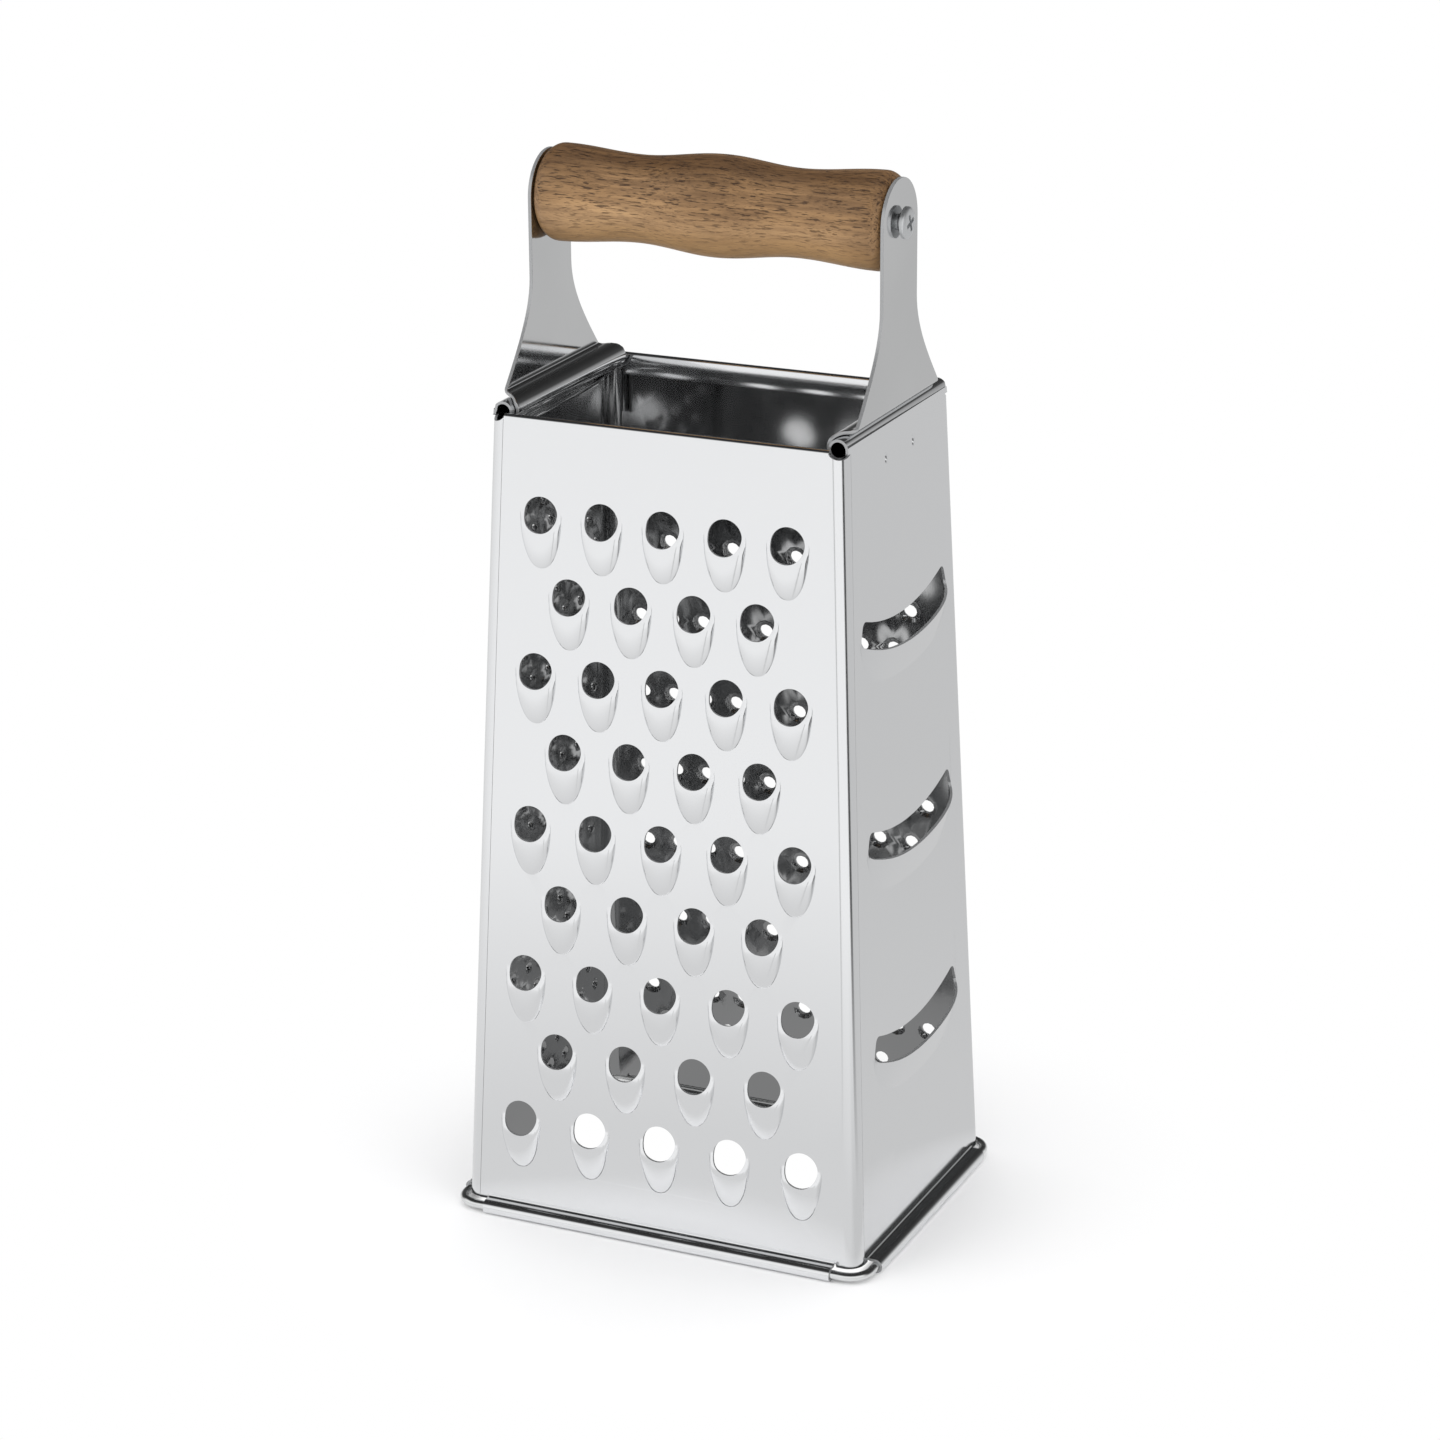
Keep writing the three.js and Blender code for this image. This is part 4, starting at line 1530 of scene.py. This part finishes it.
@dataclass
class Studio:
    """Pale floor, soft light, bright surroundings and the camera."""

    eye: Point = (0.367833, -0.806560, 0.423639)
    aim: Point = (-0.001023, 0.0, 0.113500)
    roll: float = -0.375
    lens: float = 104.007
    patch: ClassVar[tuple[float, float]] = (0.048, 0.0365)
    far_cards: ClassVar[list[tuple[float, float]]] = [
        (-180.0, 0.86),
        (-140.0, 0.95),
        (-118.0, 0.98),
        (-86.0, 0.98),
        (-83.5, 0.55),
        (-80.0, 0.55),
        (-77.0, 1.0),
        (-24.0, 1.0),
        (-20.0, 0.08),
        (-10.0, 0.08),
        (-6.0, 0.62),
        (90.0, 0.62),
        (140.0, 0.72),
        (180.0, 0.86),
    ]
    near_cards: ClassVar[list[tuple[float, float]]] = [
        (-180.0, 0.78),
        (-140.0, 0.75),
        (-44.0, 0.75),
        (-34.0, 0.65),
        (90.0, 0.65),
        (180.0, 0.78),
    ]
    sky_ahead: ClassVar[list[tuple[float, float]]] = [
        (0.0, 1.0),
        (0.45, 0.95),
        (0.6, 0.6),
        (0.7, 0.05),
        (1.0, 0.02),
    ]
    sky_behind: ClassVar[list[tuple[float, float]]] = [
        (0.0, 0.5),
        (0.12, 0.35),
        (0.25, 0.08),
        (0.5, 0.03),
        (1.0, 0.02),
    ]
    white_from: ClassVar[tuple[float, float]] = (0.052, 0.115)
    cards_from: ClassVar[tuple[float, float]] = (0.055, 0.075)
    cards_span: ClassVar[tuple[float, float]] = (0.11, 0.36)
    # Painted shade: reflections see the floor inside the body as this dark grey, standing in for the shadow
    # there.
    inner_floor_painted_shade: ClassVar[Point] = (0.36, 0.36, 0.36)

    def build(self) -> None:
        """Sets up everything round the object."""
        self.camera()
        self.floor()
        self.surroundings()
        self.lamps()
        settings = bpy.context.scene.view_settings
        settings.view_transform = "Standard"

    def camera(self) -> None:
        """Puts the camera at the photograph's place and angle."""
        data = bpy.data.cameras.new("camera")
        data.lens = self.lens
        data.sensor_width = 36.0
        data.clip_start = 0.05
        camera = bpy.data.objects.new("camera", data)
        bpy.context.collection.objects.link(camera)
        aim = Vector(self.aim) - Vector(self.eye)
        turn = aim.to_track_quat("-Z", "Y").to_matrix() @ Matrix.Rotation(math.radians(self.roll), 3, "Z")
        camera.location = self.eye
        camera.rotation_euler = turn.to_euler()
        bpy.context.scene.camera = camera

    @staticmethod
    def floor() -> None:
        """Lays a pale floor that keeps the shadow near the object and goes white farther out; inside the body
        its reflections show a painted shade.
        """
        bare_scene()
        bpy.ops.mesh.primitive_circle_add(vertices=96, radius=4.0, fill_type="NGON", location=(0.0, 0.0, 0.0))
        floor = bpy.context.object
        floor.name = "floor"
        material = bpy.data.materials.new("pale_floor")
        material.use_nodes = True
        nodes = Nodes(material.node_tree)
        nodes.shader.inputs["Base Color"].default_value = (0.93, 0.93, 0.93, 1.0)
        nodes.shader.inputs["Roughness"].default_value = 0.9
        nodes.shader.inputs["Specular IOR Level"].default_value = 0.0
        distance = nodes.add("ShaderNodeVectorMath", operation="LENGTH")
        nodes.join(nodes.place, distance.inputs[0])
        path = nodes.add("ShaderNodeLightPath")
        inside = Studio.inside(nodes)
        far = nodes.levels(distance.outputs["Value"], *Studio.white_from, 0.0, 1.0)
        white = nodes.product(path.outputs["Is Camera Ray"], nodes.larger(far, inside))
        beyond = nodes.levels(distance.outputs["Value"], *Studio.cards_from, 0.0, 1.0)
        mirrored = nodes.product(path.outputs["Is Glossy Ray"], nodes.larger(beyond, inside))
        turn = nodes.add("ShaderNodeTexGradient", gradient_type="RADIAL")
        nodes.join(nodes.place, turn.inputs["Vector"])
        near, away = (
            nodes.grey_ramp(turn.outputs["Fac"], [(angle / 360.0 + 0.5, level) for angle, level in cards])
            for cards in (Studio.near_cards, Studio.far_cards)
        )
        cards = nodes.mixed(nodes.levels(distance.outputs["Value"], *Studio.cards_span, 0.0, 1.0), near, away)
        # Inside the body the reflected floor is painted a shade of grey for its shadow.
        cards = nodes.mixed(inside, cards, Studio.inner_floor_painted_shade)
        reflected = nodes.add("ShaderNodeEmission")
        nodes.join(cards, reflected.inputs["Color"])
        glow = nodes.add("ShaderNodeEmission")
        first = nodes.blended(mirrored, nodes.shader.outputs[0], reflected.outputs[0])
        output = next(n for n in material.node_tree.nodes if n.type == "OUTPUT_MATERIAL")
        nodes.join(nodes.blended(white, first, glow.outputs[0]), output.inputs["Surface"])
        floor.data.materials.append(material)

    @staticmethod
    def inside(nodes: Nodes) -> bpy.types.NodeSocket:
        """Marks the patch of floor inside the body, seen through the lowest holes.

        Args:
            nodes: The floor's nodes.

        Returns:
            1 on the patch and 0 around it.
        """
        scaled = nodes.add("ShaderNodeVectorMath", operation="ABSOLUTE")
        nodes.join(nodes.stretched((1.0 / Studio.patch[0], 1.0 / Studio.patch[1], 0.0)), scaled.inputs[0])
        split = nodes.add("ShaderNodeSeparateXYZ")
        nodes.join(scaled.outputs[0], split.inputs[0])
        return nodes.levels(nodes.larger(split.outputs["X"], split.outputs["Y"]), 0.98, 1.02, 1.0, 0.0)

    @staticmethod
    def surroundings() -> None:
        """Makes the surroundings white to the camera and bright low down, dim above, to the metal."""
        world = bpy.data.worlds.new("studio")
        bpy.context.scene.world = world
        world.use_nodes = True
        world.node_tree.nodes.clear()
        nodes = Nodes(world.node_tree)
        split = nodes.add("ShaderNodeSeparateXYZ")
        nodes.join(nodes.add("ShaderNodeTexCoord").outputs["Generated"], split.inputs[0])
        ahead = nodes.grey_ramp(split.outputs["Z"], Studio.sky_ahead)
        behind = nodes.grey_ramp(split.outputs["Z"], Studio.sky_behind)
        glossy = nodes.add("ShaderNodeBackground")
        facing = nodes.levels(split.outputs["Y"], -0.25, 0.15, 1.0, 0.0)
        nodes.join(nodes.mixed(facing, behind, ahead), glossy.inputs["Color"])
        plain = nodes.add("ShaderNodeBackground")
        plain.inputs["Color"].default_value = (0.85, 0.85, 0.86, 1.0)
        white = nodes.add("ShaderNodeBackground")
        white.inputs["Color"].default_value = (1.0, 1.0, 1.0, 1.0)
        path = nodes.add("ShaderNodeLightPath")
        first = nodes.blended(path.outputs["Is Glossy Ray"], plain.outputs[0], glossy.outputs[0])
        second = nodes.blended(path.outputs["Is Camera Ray"], first, white.outputs[0])
        nodes.join(second, nodes.add("ShaderNodeOutputWorld").inputs["Surface"])

    @staticmethod
    def lamps() -> None:
        """Hangs large soft lamps over and beside the object."""
        lamps = [
            ("key", (-0.9, -0.9, 1.3), 1.0, 7.0),
            ("fill", (1.2, -0.4, 1.0), 0.9, 4.0),
            ("top", (0.0, 0.3, 1.6), 1.2, 5.0),
        ]
        for name, place, size, power in lamps:
            data = bpy.data.lights.new(name, "AREA")
            data.shape = "SQUARE"
            data.size = size
            data.energy = power
            lamp = bpy.data.objects.new(name, data)
            bpy.context.collection.objects.link(lamp)
            lamp.location = place
            lamp.visible_glossy = False
            aim = Vector((0.0, 0.0, 0.1)) - Vector(place)
            lamp.rotation_euler = aim.to_track_quat("-Z", "Y").to_euler()


def main() -> None:
    """Builds the studio and every piece of the grater in order."""
    logging.basicConfig(level=logging.INFO, format="%(name)s %(message)s")
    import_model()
    Studio().build()
    width, depth = BODY.half_width, BODY.half_depth
    CoarseWall(Side.FRONT, "front_panel", Rim.HEM, width, depth).build()
    SlicingWall(Side.RIGHT, "right_panel", Rim.ROLL, depth, width).build()
    PunchedWall(Side.BACK, "back_panel", Rim.HEM, width, depth).build()
    FineWall(
        Side.LEFT,
        "left_panel",
        Rim.ROLL,
        depth,
        width,
        row_pitch=6.0 * MM,
        hole=1.1 * MM,
        foot=2.0 * MM,
        rise=0.8 * MM,
        corners=16,
        welds=True,
    ).build()
    BaseWire().build()
    Bracket(Side.RIGHT, "right_bracket").build()
    Bracket(Side.LEFT, "left_bracket").build()
    Grip().build()
    PanScrew(Side.RIGHT, "right_screw").build()
    PanScrew(Side.LEFT, "left_screw").build()
    bare_scene()


if __name__ == "__main__":
    main()
